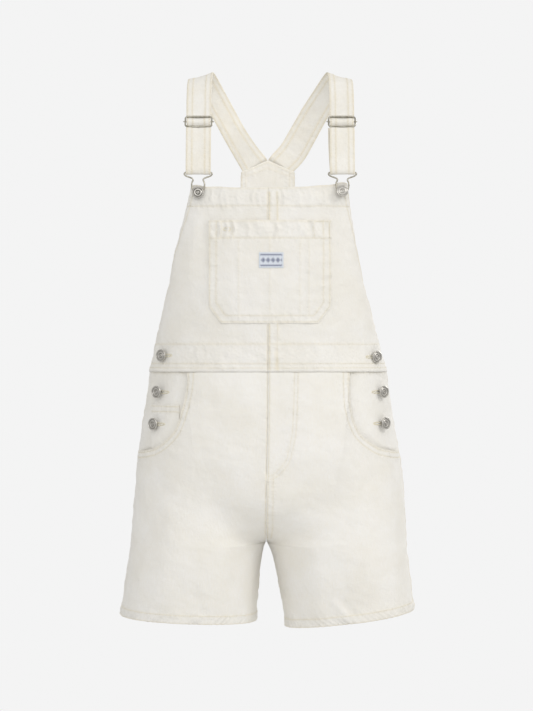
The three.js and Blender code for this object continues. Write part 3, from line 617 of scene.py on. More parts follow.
class Seam:
    """A line on the cloth: how it dents, ridges and puckers what lies beside it."""

    at_once = 4000  # points measured in one go

    def __init__(self, points, ridge=0.0, ridge_half=3.0, groove=0.22, pucker=0.0, pitch=7.0,
                 reach=6.0, slant=0.0, tone=0.25, tone_half=1.5, length=3.0, even=0.0, sharp=0.35):
        self.points = resample(points, 2.0)
        self.ridge, self.ridge_half, self.groove = ridge, ridge_half, groove
        self.pucker, self.pitch, self.reach, self.slant = pucker, pitch, reach, slant
        self.tone, self.tone_half, self.length = tone, tone_half, length
        self.even, self.sharp = even, sharp

    def measure(self, points):
        """Distance from the line and place along it, for each point."""
        line = self.points
        tangents = unit(np.gradient(line, axis=0))
        along = length_along(line)
        flat = points.reshape(-1, 3)
        distance, place = np.empty(len(flat)), np.empty(len(flat))
        for start in range(0, len(flat), self.at_once):
            part = slice(start, start + self.at_once)
            chunk = flat[part]
            gaps = ((chunk[:, None, :] - line[None, :, :]) ** 2).sum(axis=2)
            nearest = gaps.argmin(axis=1)
            offset = chunk - line[nearest]
            ahead = (offset * tangents[nearest]).sum(axis=1)
            inner = (nearest > 0) & (nearest < len(line) - 1)
            ahead = np.where(inner, np.clip(ahead, -2, 2), ahead)
            held = np.where(inner | (ahead * np.where(nearest == 0, 1, -1) > 0), ahead, 0)
            distance[part] = np.linalg.norm(offset - held[:, None] * tangents[nearest], axis=1)
            place[part] = along[nearest] + held
        return distance.reshape(points.shape[:-1]), place.reshape(points.shape[:-1])

    def relief(self, points):
        """Height, cream colour of rubbing and painted shade, and gathers that the seam gives to each point.
        """
        distance, place = self.measure(points)
        height = self.ridge * np.exp(-(distance / self.ridge_half) ** 4)
        height = height - self.groove * np.exp(-(distance / 1.3) ** 2)
        if self.pucker:
            s = place + self.slant * distance
            wave = noise(xyz(s, 0 * s + 3.7, distance / self.length), self.pitch)
            wave = wave + 0.5 * noise(xyz(s, 0 * s + 9.1, distance / self.length), self.pitch * 0.45)
            fold = noise(xyz(s, 0 * s + 7.3, distance / self.length), self.pitch * 1.3)
            pleats = 1 - 2.6 * np.abs(fold)
            wave = mix(wave, 0.8 * pleats, self.sharp)
            ropes = np.sin(s * 2 * math.pi / self.pitch + 2.2 * noise(xyz(s, 0 * s + 1.3, 0 * s), 26))
            wave = mix(wave, 0.6 * ropes * (0.7 + 0.6 * noise(xyz(s, 0 * s + 5.9, 0 * s), 19)), self.even)
            height = height + self.pucker * PUCKER * wave * np.exp(-(distance / self.reach) ** 2)
        # Cream beside the seam: partly rubbing of the washed cloth, partly painted shade beside the seam's
        # step
        tone = self.tone * WEAR_AND_SHADE * np.exp(-(distance / self.tone_half) ** 2)
        return height, tone, np.exp(-(distance / (self.reach * 0.9)) ** 2) * (self.pucker > 0)


class Sewing:
    """Seams of one piece, and the lines of thread that hold them."""

    def __init__(self, surface):
        self.surface = surface
        self.seams = []
        self.rows = []

    def add(self, line, sewn=True, **shape):
        """A seam along a line, with a row of stitches on it where it is sewn."""
        self.seams.append(Seam(line, **shape))
        if sewn:
            self.rows.append(line)

    def down(self, z, distance, high=False, sewn=True, **shape):
        """A seam that runs down the face at a distance from its first or last column."""
        self.add(self.surface.line(z, self.surface.column(z, distance, high)), sewn, **shape)


def resample(points, spacing):
    """The same line with points at about even spacing."""
    points = np.asarray(points, float)
    along = length_along(points)
    count = max(2, int(round(along[-1] / spacing)) + 1)
    wanted = np.linspace(0, along[-1], count)
    return np.stack([np.interp(wanted, along, points[:, k]) for k in range(3)], axis=1)


PUCKER = 2.3
# Strength of the cream along seams, partly rubbing and partly painted shade
WEAR_AND_SHADE = 0.6
STITCH_ROWS = []


def sew(piece, points, kind="row", inner=False):
    """Remember a line of thread to be laid on a piece's outer or inner face."""
    STITCH_ROWS.append({"piece": piece, "points": np.asarray(points, float), "kind": kind, "inner": inner})


# Meshes

LOOKS = {}
FACE_COUNT = {}


def point_values(mesh, name, values, kind="FLOAT", field="value"):
    """A named value for each point of a mesh, for its material or its node tree."""
    layer = mesh.attributes.new(name, kind, "POINT")
    layer.data.foreach_set(field, np.asarray(values, np.float32).ravel())


def shell(name, outer, inner, tone, gather, flat_uv, material):
    """Closed cloth between an outer and an inner grid, with its cream colour of rubbing and painted shade,
    its gathers and a flat map.
    """
    rows, columns = outer.shape[:2]
    verts = np.concatenate([outer.reshape(-1, 3), inner.reshape(-1, 3)])
    index = np.arange(rows * columns).reshape(rows, columns)
    other = index + rows * columns
    a, b, c, d = index[:-1, :-1], index[1:, :-1], index[1:, 1:], index[:-1, 1:]
    quads = [np.stack([a, b, c, d], -1).reshape(-1, 4)]
    quads.append(np.stack([a, d, c, b], -1).reshape(-1, 4) + rows * columns)
    top = np.stack([index[0, :-1], index[0, 1:], other[0, 1:], other[0, :-1]], -1)
    bottom = np.stack([index[-1, :-1], other[-1, :-1], other[-1, 1:], index[-1, 1:]], -1)
    first = np.stack([index[:-1, 0], other[:-1, 0], other[1:, 0], index[1:, 0]], -1)
    last = np.stack([index[:-1, -1], index[1:, -1], other[1:, -1], other[:-1, -1]], -1)
    faces = np.concatenate([*quads, top, bottom, first, last])
    volume = 0
    for tri in (faces[:, [0, 1, 2]], faces[:, [0, 2, 3]]):
        p, q, r = verts[tri[:, 0]], verts[tri[:, 1]], verts[tri[:, 2]]
        volume += np.einsum("ij,ij->i", p, np.cross(q, r)).sum()
    if volume < 0:
        faces = faces[:, ::-1]
    mesh = bpy.data.meshes.new(name)
    mesh.from_pydata((verts * MM).tolist(), [], faces.tolist())
    mesh.polygons.foreach_set("use_smooth", np.ones(len(faces), bool))
    uv = np.concatenate([flat_uv.reshape(-1, 2)] * 2) * MM
    layer = mesh.uv_layers.new(name="flat")
    corners = np.empty(len(mesh.loops), np.int32)
    mesh.loops.foreach_get("vertex_index", corners)
    layer.data.foreach_set("uv", uv[corners].ravel())
    for title, values in (("tone", tone), ("gather", gather)):
        point_values(mesh, title, np.concatenate([values.ravel()] * 2))
    mesh.materials.append(material)
    mesh.update()
    FACE_COUNT[name] = len(quads[0])
    return link(name, mesh)


def link(name, mesh):
    piece = bpy.data.objects.new(name + "_look", mesh)
    bpy.context.scene.collection.objects.link(piece)
    return piece


def turned_edge(shape, ends=True):
    """How far a grid's cloth has thinned: fully on its border, a little beside it."""
    edge = np.zeros(shape)
    edge[0, :], edge[-1, :], edge[:, 0], edge[:, -1] = 1, 1, 1, 1
    edge[1:-1, 1], edge[1:-1, -2] = BESIDE_EDGE, BESIDE_EDGE
    if ends:
        edge[1, 1:-1], edge[-2, 1:-1] = BESIDE_EDGE, BESIDE_EDGE
    return edge


def cloth_piece(name, base, normal, seams, creases, cloth, lift, material, settings, uv=None):
    """Cloth over a grid of points: relief from its seams and creases, then a turned edge."""
    wrinkles = noise(base * np.array([0.38, 0.6, 1.0]) + base[..., 2:] * np.array([0.25, 0, 0]), 9)
    relief = creases + 0.9 * noise(base, 42) + 0.6 * noise(base, 18) + 0.24 * noise(base, 7)
    relief = relief + 0.45 * wrinkles
    tone = np.zeros(base.shape[:2])
    gather = np.zeros(base.shape[:2])
    # Each seam adds relief, gathers and a cream colour that is partly rubbing and partly painted shade
    for seam in seams:
        height, shade, close = seam.relief(base)
        relief = relief + height * settings.pucker
        tone = np.maximum(tone, shade)
        gather = np.maximum(gather, close)
    thick = np.broadcast_to(np.asarray(cloth, float), base.shape[:2])
    inset = turned_edge(base.shape[:2]) * thick * 0.33
    out = base + normal * (lift + thick + relief - inset)[..., None]
    inn = base + normal * (lift + relief + inset)[..., None]
    return shell(name, out, inn, tone, gather, flat_map(base) if uv is None else uv, material)


def lapped(base, first=0.0, last=0.0, bottom=0.0):
    """The grid with its first or last column or its bottom row moved on over the seam."""
    base = base.copy()
    base[:, 0] += unit(base[:, 0] - base[:, 1]) * first
    base[:, -1] += unit(base[:, -1] - base[:, -2]) * last
    base[-1] += unit(base[-1] - base[-2]) * bottom
    return base


def from_edge(base, high=False):
    """Distance of each point of a grid from its first or last column, along its row."""
    steps = np.linalg.norm(np.diff(base, axis=1), axis=2)
    along = np.concatenate([np.zeros((len(base), 1)), np.cumsum(steps, axis=1)], axis=1)
    return along[:, -1:] - along if high else along


def flat_map(base):
    """Flat place of each point of a grid: the length along its middle row and its own height."""
    across = length_along(base[base.shape[0] // 2])
    return np.stack([np.broadcast_to(across, base.shape[:2]), base[..., 2]], -1)


def eased(count, length, start=True, end=True):
    """Places from 0 to 1 with close ones at the ends where the cloth's edge turns."""
    close = np.array([0, 0.35, 0.8, 1.5, 2.6]) / length
    low = close[-1] if start else 0
    high = 1 - close[-1] if end else 1
    inner = np.linspace(low, high, max(3, count))
    before = close[:-1] if start else []
    after = 1 - close[:-1][::-1] if end else []
    return np.concatenate([before, inner, after])


def cells(length, cell, start=True, end=True):
    """Places from 0 to 1 along a length cut into cells, closer where its cloth turns."""
    return eased(int(length / cell), length, start, end)


def finish_piece(piece, node, rows=()):
    """Tell the frame what a finished piece stands for, and keep its lines of thread."""
    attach(piece, "root")
    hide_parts(node)
    for line in rows:
        sew(node, line)
    LOOKS[node] = piece


# Legs


def leg_surface(side, face):
    turned = -1 if (side == "right") == (face == "front") else 1
    return Surface(lambda z, t: leg_point(side, face, z, t), turned)


def hem_height(side, t):
    """Height of a leg's hem from its inner (0) to its outer edge (1)."""
    hem = HEM[side]
    return mix(hem["inner"], hem["outer"], (1 - np.cos(np.asarray(t, float) * math.pi)) / 2)


def scoop_points(side):
    """Edge of a scoop pocket, from just under the waist seam to the side seam."""
    points = [(row[side], row["z"]) for row in SCOOP]
    points[0] = (points[0][0], LEG_TOP_Z)
    return points


def leg_places(side, face, cell):
    """Heights and columns of a leg panel's grid, fanned out below the scoop."""
    if face == "front":
        points = scoop_points(side)
        corner = float(column_at(side, "front", LEG_TOP_Z, points[0][0]))
        waist = cells(112, cell, end=False)
        scoop = cells(190, cell, start=False)[1:]
        curve = through(points, scoop * (len(points) - 1))
        t = column_at(side, "front", curve[:, 1], curve[:, 0])
        t[-1] = 1
        edge_t = np.concatenate([waist * corner, t])
        edge_z = np.concatenate([np.full(len(waist), float(LEG_TOP_Z)), curve[:, 1]])
        along = np.concatenate([np.zeros(len(waist)), scoop])
        turned = np.where(along == 0, edge_t * 0.72, mix(corner * 0.72, 1, along ** 1.6))
    else:
        edge_t = cells(260, cell)
        edge_z = np.full(len(edge_t), float(LEG_TOP_Z))
        turned = edge_t
    even = eased(len(edge_t) - 8, 300)
    rows = []
    for share in eased(int(125 / cell), 100, end=False):
        rows.append((mix(edge_z, TURN_Z, share), mix(edge_t, turned, share), 0.0))
    count = int(120 / cell)
    for k in range(1, count + 1):
        z = TURN_Z + (CROTCH_Z - TURN_Z) * (1 - (1 - k / count) ** 1.6)
        t = mix(turned, even, float(smooth((TURN_Z - z) / (TURN_Z - CROTCH_Z))))
        rows.append((np.full(len(t), z), t, 0.0))
    end = hem_height(side, even)
    count = int(96 / cell)
    for k in range(1, count + 1):
        rows.append((mix(CROTCH_Z, end + HEM_BAND, k / count), even, 0.0))
    for up in HEM_STEPS:
        rows.append((end + up, even, float(smooth((HEM_BAND - up) / 0.8))))
    rows_z, rows_t, band = zip(*rows)
    return np.array(rows_z), np.array(rows_t), np.array(band)


def leg_seams(side, face, surface):
    """Seams of a leg panel, with its rows of stitches."""
    front, right = face == "front", side == "right"
    sewing = Sewing(surface)
    t = np.linspace(0, 1, 60)
    hem = hem_height(side, t)
    sewing.add(surface.line(hem + 11.6, t), groove=0.4, pucker=0.4, pitch=8.5, reach=8, slant=0.9,
               tone=0.45)
    sewing.add(surface.line(hem + 0.2, t), False, groove=0, pucker=1.2, pitch=8.5, reach=10, slant=1.1,
               tone=0.8, even=0.8, length=9)
    low = SCOOP_END_Z if front else WAIST_Z - 1
    z = np.linspace(low - 2, -742, 60)
    sewing.down(z, 2.2, True, not front, ridge=0.35, groove=0.2, pucker=0.35, pitch=9, reach=7, tone=0.3)
    if front and right:
        z = np.linspace(-528, -738, 80)
        sewing.down(z, 12, True, ridge=0.3, groove=0.3, pucker=0.5, pitch=7, reach=6, tone=0.9)
    z = np.linspace(-656, -748, 30)
    if front:
        sewing.down(z, 0.8, sewn=False, groove=0.15, pucker=0.4, pitch=9, reach=7, tone=0.3)
        front_seams(side, sewing)
        return sewing
    for distance in (1.5, 8.0):
        sewing.down(z, distance, groove=0.25, pucker=0.35, pitch=7, reach=6)
    z = np.linspace(FRONT_SEAM_Z, -644, 90)
    for distance in DOUBLE_SEAM if right else (0.6,):
        sewing.down(z, distance, sewn=right, groove=0.3, pucker=0.45, pitch=7, reach=6, tone=0.4)
    return sewing


def front_seams(side, sewing):
    """Seams round the scoop and along the centre of a front leg, and the fly on the right one."""
    surface = sewing.surface
    points = scoop_points(side)
    curve = through(points, np.linspace(0, len(points) - 1.01, 90))
    column = column_at(side, "front", curve[:, 1], curve[:, 0])
    for distance in (2.7, 9.5):
        line = surface.line(curve[:, 1], column, -distance)
        sewing.add(line, groove=0.3, pucker=0.4, pitch=7.5, reach=5.5, tone=0.4)
    edge = surface.line(curve[:, 1], column)
    sewing.add(edge, False, groove=0, pucker=0.4, reach=4, tone=0.6, tone_half=1.6)
    if side == "left":
        z = np.linspace(FRONT_SEAM_Z, -645, 90)
        sewing.down(z, 0.2, sewn=False, groove=0, pucker=0.45, pitch=7, reach=7, tone=0.9)
        return
    fly = through(FLY, np.linspace(0, len(FLY) - 1, 80))
    for shift in (0, FLY_STEP):
        line = surface.line(fly[:, 1], column_at(side, "front", fly[:, 1], fly[:, 0]), shift)
        sewing.add(line, groove=0.3, pucker=0.35, pitch=6.5, reach=5)
    z = np.linspace(FRONT_SEAM_Z, -552, 60)
    sewing.down(z, 1.6, ridge=0.2, groove=0.2, pucker=0.3, pitch=7, reach=5, tone=0.4)
    z = np.linspace(-553, -643, 50)
    for distance in DOUBLE_SEAM:
        sewing.down(z, distance, groove=0.3, pucker=0.5, pitch=6.5, reach=6, tone=0.4)


def build_leg(side, face, settings, look):
    surface = leg_surface(side, face)
    z, t, band = leg_places(side, face, settings.cell * 1000)
    base, normal = surface.grid(z, t)
    sewing = leg_seams(side, face, surface)
    creases = fold_height(FRONT_CREASES if face == "front" else BACK_CREASES, base[..., 0], base[..., 2])
    creases = creases - 0.5 * smooth((z + 415) / 3)
    near_seam = smooth((CROTCH_Z + 22 - z) / -20)
    if side == "right":
        creases = creases + 0.55 * smooth((11.5 - from_edge(base)) / 1.5) * near_seam
        base = lapped(base, first=0.9)
    if face == "front":
        creases = creases + 0.5 * smooth((4 - from_edge(base, True)) / 1.5) * smooth((-524 - z) / 6)
        base = lapped(base, last=0.7)
    thick = mix(CLOTH, HEM_CLOTH, band)[:, None] + 0 * z
    lift = -thick + 0.5 * band[:, None]
    name = f"{face}_leg_{side}"
    piece = cloth_piece(name, base, normal, sewing.seams, creases, thick, lift, look, settings)
    finish_piece(piece, name, sewing.rows)


# Bib, back and pockets


def bib_seams(side, surface):
    """Seams of a bib half, with its rows of stitches."""
    right = side == "right"
    sewing = Sewing(surface)
    t = np.linspace(0, 1, 50)
    sewing.add(surface.line(BIB_HEM_Z, t), groove=0.5, pucker=0.6, pitch=7.5, reach=8, slant=0.5, tone=0.35)
    sewing.add(surface.line(-176, t), False, groove=0, pucker=1.2, pitch=7, reach=10, length=12,
               slant=0.3, tone=0, sharp=0.8, even=0.35)
    sewing.add(surface.line(-388, t), False, groove=0, pucker=0.6, pitch=9, reach=14, length=12,
               slant=0.4, tone=0, sharp=0.6)
    edge = surface.line(BIB_TOP_Z - 1.1, t)
    edge[:, 2] += bib_rise(edge)
    sewing.add(edge, False, groove=0, pucker=0.5, pitch=8, reach=6, tone=0.5, tone_half=1.8)
    for height in WAISTBAND_SEAMS:
        line = surface.line(height, t)
        sewing.add(line, groove=0.3, pucker=0.42, pitch=8, reach=5.5, slant=0.3, tone=0.35)
    z = np.linspace(-169, -409, 90)
    sewing.down(z, 7.5, True, groove=0.3, pucker=0.4, pitch=8, reach=6, tone=0.35)
    sewing.down(z, 0.8, True, False, groove=0, pucker=0.3, reach=4, tone=0.5, tone_half=1.8)
    groove = 0.3 if right else 0
    for distance in (1.3, 12.0) if right else (0.2,):
        sewing.down(z, distance, sewn=right, groove=groove, pucker=0.4, pitch=7, reach=5.5, tone=0.9)
    return sewing


def bib_rise(points):
    """How far the top of the bib is drawn up by the hooks, most at its right corner."""
    x, z = points[..., 0], points[..., 2]
    near = np.abs(np.abs(x) - 98)
    edge = 3.4 * smooth((x - 10) / 95) + 2.2 * np.exp(-(near / 9) ** 2)
    edge = edge + 0.8 * noise(xyz(x, 0 * x, 0 * x), 17)
    return (edge + 1.6 * smooth((np.abs(x) - 40) / 50)) * smooth((z + 215) / 45)


def waistband(z):
    """Extra height of the waistband over the panel, and of the turned edge along its bottom."""
    return 0.5 * smooth((-373.6 - z) / 1.5) + 0.5 * smooth((-404 - z) / 2)


def build_bib(side, settings, look):
    surface = Surface(lambda z, t: bib_point(side, z, t), -SIGN[side])
    cell = settings.cell * 1000
    heights = mix(BIB_TOP_Z, BIB_LOW_Z, cells(248, cell))
    z, t = np.meshgrid(heights, cells(170, cell), indexing="ij")
    base, normal = surface.grid(z, t)
    sewing = bib_seams(side, surface)
    creases = fold_height(BIB_CREASES, base[..., 0], base[..., 2])
    creases = creases + 0.5 * smooth((z + 188.5) / 1.5) + waistband(z)
    base[..., 2] += bib_rise(base)
    if side == "right":
        creases = creases + 0.55 * smooth((14.5 - from_edge(base)) / 1.5)
    base = lapped(base, first=0.9 if side == "right" else 0, bottom=BAND_LAP)
    thick = CLOTH + 0.8 * smooth((z + 188) / 2)
    name = f"bib_{side}"
    piece = cloth_piece(name, base, normal, sewing.seams, creases, thick, -thick, look, settings)
    finish_piece(piece, name, sewing.rows)


def build_back(settings, look):
    surface = Surface(back_point, 1, -1.0, 1.0)
    cell = settings.cell * 1000
    heights = mix(BACK_TOP_Z, BIB_LOW_Z, cells(285, cell))
    z, t = np.meshgrid(heights, mix(-1, 1, cells(330, cell)), indexing="ij")
    base, normal = surface.grid(z, t)
    sewing = Sewing(surface)
    across = np.linspace(-1, 1, 70)
    for height in WAISTBAND_SEAMS:
        line = surface.line(height, across)
        sewing.add(line, groove=0.3, pucker=0.42, pitch=8, reach=5.5, slant=0.3)
    for distance in (2.2, 8.4):
        line = surface.line(BACK_TOP_Z - distance, across)
        sewing.add(line, groove=0.3, pucker=0.3, pitch=7, reach=5, tone=0.4)
    down = np.linspace(-128, -409, 100)
    for high in (False, True):
        sewing.down(down, 7.5, high, groove=0.3, pucker=0.4, pitch=8, reach=6, tone=0.4)
        sewing.down(down, 0.8, high, False, groove=0, pucker=0.3, reach=4, tone=0.5, tone_half=1.8)
    creases = fold_height(BACK_CREASES, base[..., 0], base[..., 2]) + waistband(z)
    base = lapped(base, bottom=BAND_LAP)
    piece = cloth_piece("back_bib", base, normal, sewing.seams, creases, CLOTH, -CLOTH, look, settings)
    finish_piece(piece, "back_bib", sewing.rows)


def inset_outline(distance):
    """Pocket outline down one side, along the bottom and up the other, moved in by a distance."""
    left, right = POCKET["left"] + distance, POCKET["right"] - distance
    bottom = POCKET["bottom"] + distance
    cut = distance * 0.42
    cx, cz = POCKET["chamfer_x"] - cut, POCKET["chamfer_z"] - cut
    top = POCKET["top"] - 1.5
    return [
        (left, top), (left, bottom + cz), (left + cx, bottom), (right - cx, bottom),
        (right, bottom + cz), (right, top),
    ]


def on_bib(points, spacing=2.0):
    """A line drawn from the front, laid on the bib's face."""
    flat = resample([(x, 0, z) for x, z in points], spacing)
    return xyz(flat[:, 0], bib_y(flat[:, 0], flat[:, 2]), flat[:, 2])


def pocket_seams(surface):
    """Seams of the bib pocket, with its rows of stitches."""
    sewing = Sewing(surface)
    left, right = POCKET["left"], POCKET["right"]
    for distance in (2.0, 10.7):
        sewing.add(on_bib(inset_outline(distance)), groove=0.3, pucker=0.4, pitch=7, reach=5.5, tone=0.4)
    hem = on_bib([(left + 1.5, POCKET_HEM_Z), (right - 1.5, POCKET_HEM_Z)])
    sewing.add(hem, groove=0.5, pucker=0.6, pitch=7.5, reach=8, slant=0.5, tone=0.4)
    middle = on_bib([(left + 12, -218.5), (right - 12, -218.5)])
    sewing.add(middle, False, groove=0, pucker=1.5, pitch=7.5, reach=13, length=12, slant=0.3, tone=0,
               sharp=0.8)
    edge = on_bib([(left, -208), (right, -208)])
    sewing.add(edge, False, groove=0, pucker=0.45, pitch=8, reach=6, tone=0.5, tone_half=1.8)
    for x in PRESSED_THROUGH:
        line = on_bib([(x, -233), (x, -338)])
        sewing.add(line, False, ridge=0.22, ridge_half=1.1, groove=0, pucker=0.15, reach=4, tone=0.3,
                   tone_half=1.2)
    for start, end in POCKET_TACKS:
        line = on_bib([(start, -229), (start, -208.5), (end, -208.5), (end, -229)])
        sewing.add(line, groove=0.25, pucker=0.25, pitch=5, reach=4)
    return sewing


def loop(x, z, half_x, half_z):
    """Closed oval of a buttonhole seen from the front."""
    angles = np.linspace(0, 2 * math.pi, 40)
    return [(x + half_x * math.cos(a), z + half_z * math.sin(a)) for a in angles]


def build_pocket(settings, look):
    surface = Surface(pocket_point, -1)
    cell = settings.cell * 850
    heights = mix(POCKET["top"], POCKET["bottom"], cells(140, cell))
    z, t = np.meshgrid(heights, cells(167, cell), indexing="ij")
    base, normal = surface.grid(z, t)
    sewing = pocket_seams(surface)
    creases = fold_height(POCKET_CREASES + BIB_CREASES, base[..., 0], base[..., 2])
    creases = creases + 0.5 * smooth((z + 231.4) / 1.5)
    piece = cloth_piece("bib_pocket", base, normal, sewing.seams, creases, CLOTH, LAYER_GAP, look, settings)
    finish_piece(piece, "bib_pocket", rows=sewing.rows)
    sew("bib_pocket", on_bib(loop(-57.1, -219.2, 5.4, 2.1), 0.7), "buttonhole")


def build_label(settings, look):
    surface = Surface(label_point, -1)
    top, bottom = LABEL["z"] + LABEL["height"] / 2, LABEL["z"] - LABEL["height"] / 2
    z, t = np.meshgrid(mix(top, bottom, eased(30, 21)), eased(44, 33), indexing="ij")
    base, normal = surface.grid(z, t)
    uv = np.stack([t * LABEL["width"], z - bottom], -1)
    creases = fold_height(POCKET_CREASES + BIB_CREASES, base[..., 0], base[..., 2])
    thick, lift = LABEL_CLOTH * 0.7, CLOTH + 2 * LAYER_GAP
    piece = cloth_piece("label", base, normal, [], creases, thick, lift, look, settings, uv)
    finish_piece(piece, "label")


def facing_depth(side, x, z):
    """Depth of a pocket facing below the leg's face: least at the side seam and under the bib."""
    scoop = np.abs(at(SCOOP, side, np.maximum(z, -522)))
    seam = np.abs(at(BODY, side, z))
    away = smooth((np.abs(x) - scoop - 3) / 12)
    edge = smooth((seam - np.abs(x)) / 9)
    return mix(FACING_DEPTH, 1.8, away) * mix(0.1, 1, edge)


def build_facing(side, settings, look):
    surface = leg_surface(side, "front")
    cell = settings.cell * 1000
    heights = mix(LEG_TOP_Z, -556, cells(145, cell))
    edge = at(SCOOP, side, np.maximum(heights, -512))
    start = column_at(side, "front", heights, edge - SIGN[side] * FACING_LAP)
    t = mix(start[:, None], 1, cells(110, cell)[None, :])
    z = heights[:, None] + 0 * t
    base, normal = surface.grid(z, t)
    top = surface.line(np.full(30, float(FRONT_SEAM_Z)), np.linspace(float(start[0]), 1, 30))
    seams = [Seam(top, pucker=0.5, reach=8, groove=0)]
    name = f"pocket_facing_{side}"
    lift = -facing_depth(side, base[..., 0], base[..., 2]) - CLOTH
    base = lapped(base, last=0.8)
    piece = cloth_piece(name, base, normal, seams, 0 * z, CLOTH, lift, look, settings)
    finish_piece(piece, name)


def build_coin(settings, look):
    surface = leg_surface("left", "front")
    cell = settings.cell * 850
    heights = mix(COIN["top"], COIN["bottom"], cells(75, cell))
    start = column_at("left", "front", heights, COIN["right"])
    end = column_at("left", "front", heights, COIN["left"])
    t = mix(start[:, None], end[:, None], cells(60, cell)[None, :])
    z = heights[:, None] + 0 * t
    base, normal = surface.grid(z, t)
    sewing = Sewing(surface)
    for drop in (2.2, 9.5):
        k = int(np.argmin(np.abs(heights - (COIN["top"] - drop))))
        sewing.add(base[k], groove=0.3, pucker=0.35, pitch=6.5, reach=5, tone=0.45)
    lift = 0.5 - facing_depth("left", base[..., 0], base[..., 2])
    piece = cloth_piece("coin_pocket", base, normal, sewing.seams, 0 * z, COIN_CLOTH, lift, look, settings)
    finish_piece(piece, "coin_pocket", sewing.rows)


# Straps


def strap_line(side):
    """Rows of a strap's middle line from the yoke to its return end: place, width direction, width."""
    sign = -SIGN[side]
    front_x = STRAP_FRONT_X[side]
    tilt = math.radians(SLIDER["tilt"])
    half_height = SLIDER["half_height"]
    along = np.array([0, -math.sin(tilt), -math.cos(tilt)])
    outward = np.array([0, -math.cos(tilt), math.sin(tilt)])
    middle = np.array([front_x, SLIDER["y"], SLIDER["z"]])
    rows = []
    for k, row in enumerate(STRAP_BACK):
        mirror = 2 * (YOKE_X if k == 0 else STRAP_MIDDLE_X) - row["x"]
        x = row["x"] if side == "left" else mirror
        slope = math.radians(sign * row["slope"])
        slim = row["slim"] if side == "left" else 0
        x, z = x - math.cos(slope) * slim / 2, row["z"] - math.sin(slope) * slim / 2
        rows.append((x, row["y"], z, math.cos(slope), math.sin(slope), row["width"] - slim))
    for s in np.linspace(-1.5, 1.5, 13):
        far = 1 - (abs(s) - 1) * 0.6 if abs(s) > 1 else 1
        wave = STRAP_WAVE * math.cos(s * math.pi) * far
        point = middle + along * s * half_height + outward * wave
        width = mix(STRAP_IN_SLIDER, STRAP_WIDTH, float(smooth(abs(s) * 2 - 2)))
        rows.append((*point, 1, 0, width))
    for row in STRAP_BELOW:
        rows.append((front_x, row["y"], row["z"], 1, 0, STRAP_WIDTH))
    for angle in np.linspace(0, math.pi, 7):
        y = FOLD["y"] - math.cos(angle) * FOLD["radius"]
        z = FOLD["z"] - math.sin(angle) * FOLD["radius"]
        rows.append((front_x, y, z, 1, 0, 33.6))
    for row in STRAP_RETURN:
        aside = row["aside"] if side == "right" else 0
        rows.append((front_x - aside, row["y"], row["z"], 1, 0, STRAP_WIDTH))
    return np.array(rows, float)


def build_strap(side, settings, look):
    rows = strap_line(side)
    fine = through(rows, np.linspace(0, len(rows) - 1, 900))
    along = length_along(fine[:, :3])
    cell = min(settings.cell * 1000, 1.5)
    wanted = eased(int(along[-1] / cell), along[-1]) * along[-1]
    fine = np.stack([np.interp(wanted, along, fine[:, k]) for k in range(6)], axis=1)
    points = fine[:, :3]
    ahead = unit(np.gradient(points, axis=0))
    across = np.stack([fine[:, 3], 0 * fine[:, 3], fine[:, 4]], axis=1)
    across = unit(across - ahead * (across * ahead).sum(1, keepdims=True))
    across[0] = unit(np.array([fine[0, 3], 0, fine[0, 4]]))
    normal = -unit(np.cross(across, ahead))
    places = eased(22, STRAP_WIDTH) - 0.5
    width = fine[:, 5]
    base = points[:, None, :] + across[:, None, :] * (width[:, None] * places[None, :])[..., None]
    normals = np.broadcast_to(normal[:, None, :], base.shape)
    inward = width[:, None] * (0.5 - np.abs(places)[None, :])
    s = wanted[:, None] + 0 * inward
    outer_seam, inner_seam = (inward - distance for distance in STRAP_SEAMS)
    band = 0.45 * smooth((9.6 - inward) / 1.0)
    groove = 0.35 * np.exp(-(outer_seam / 0.7) ** 2) + 0.45 * np.exp(-(inner_seam / 0.8) ** 2)
    pucker = noise(xyz(s, 0 * s + 40 * (side == "left"), inward * 0.8), 6.5) * 0.45
    slack = noise(xyz(s * 0.5, inward, 0 * s + 11), 9) * 0.5 * smooth((inward - 8) / 3)
    relief = (band - groove + pucker + slack) * settings.pucker
    # Cream along the strap's seams and turned edges: partly rubbing, partly painted shade
    tone = 0.35 * np.exp(-(outer_seam / 1.5) ** 2) + 0.4 * np.exp(-(inner_seam / 1.5) ** 2)
    tone = np.maximum(tone, 0.5 * np.exp(-(inward / 1.4) ** 2))
    half = STRAP_CLOTH / 2
    edge = turned_edge(base.shape[:2], ends=False)
    base[0] -= ahead[0] * STRAP_UNDER_YOKE
    drift = 0.5 * noise(base, 30)
    lift = (half + relief * 0.7) - edge * half * 0.6
    name = f"strap_{side}"
    out = base + normals * (lift + 0.4 * drift)[..., None]
    inn = base - normals * (lift - 0.4 * drift)[..., None]
    uv = np.stack([width[:, None] * places[None, :] + 300, s], -1)
    gather = np.maximum(np.exp(-(outer_seam / 3) ** 2), np.exp(-(inner_seam / 3.5) ** 2))
    piece = shell(name, out, inn, tone, 0.7 * gather, uv, look)
    for distance in STRAP_SEAMS:
        for sign in (-1, 1):
            offset = sign * (width / 2 - distance)
            line = points + across * offset[:, None]
            keep = (wanted > 3) & (wanted < along[-1] - 4)
            sew(name, line[keep])
            sew(name, line[keep & (wanted < STRAP_SEEN_INSIDE)], inner=True)
    finish_piece(piece, name)


# Hardware


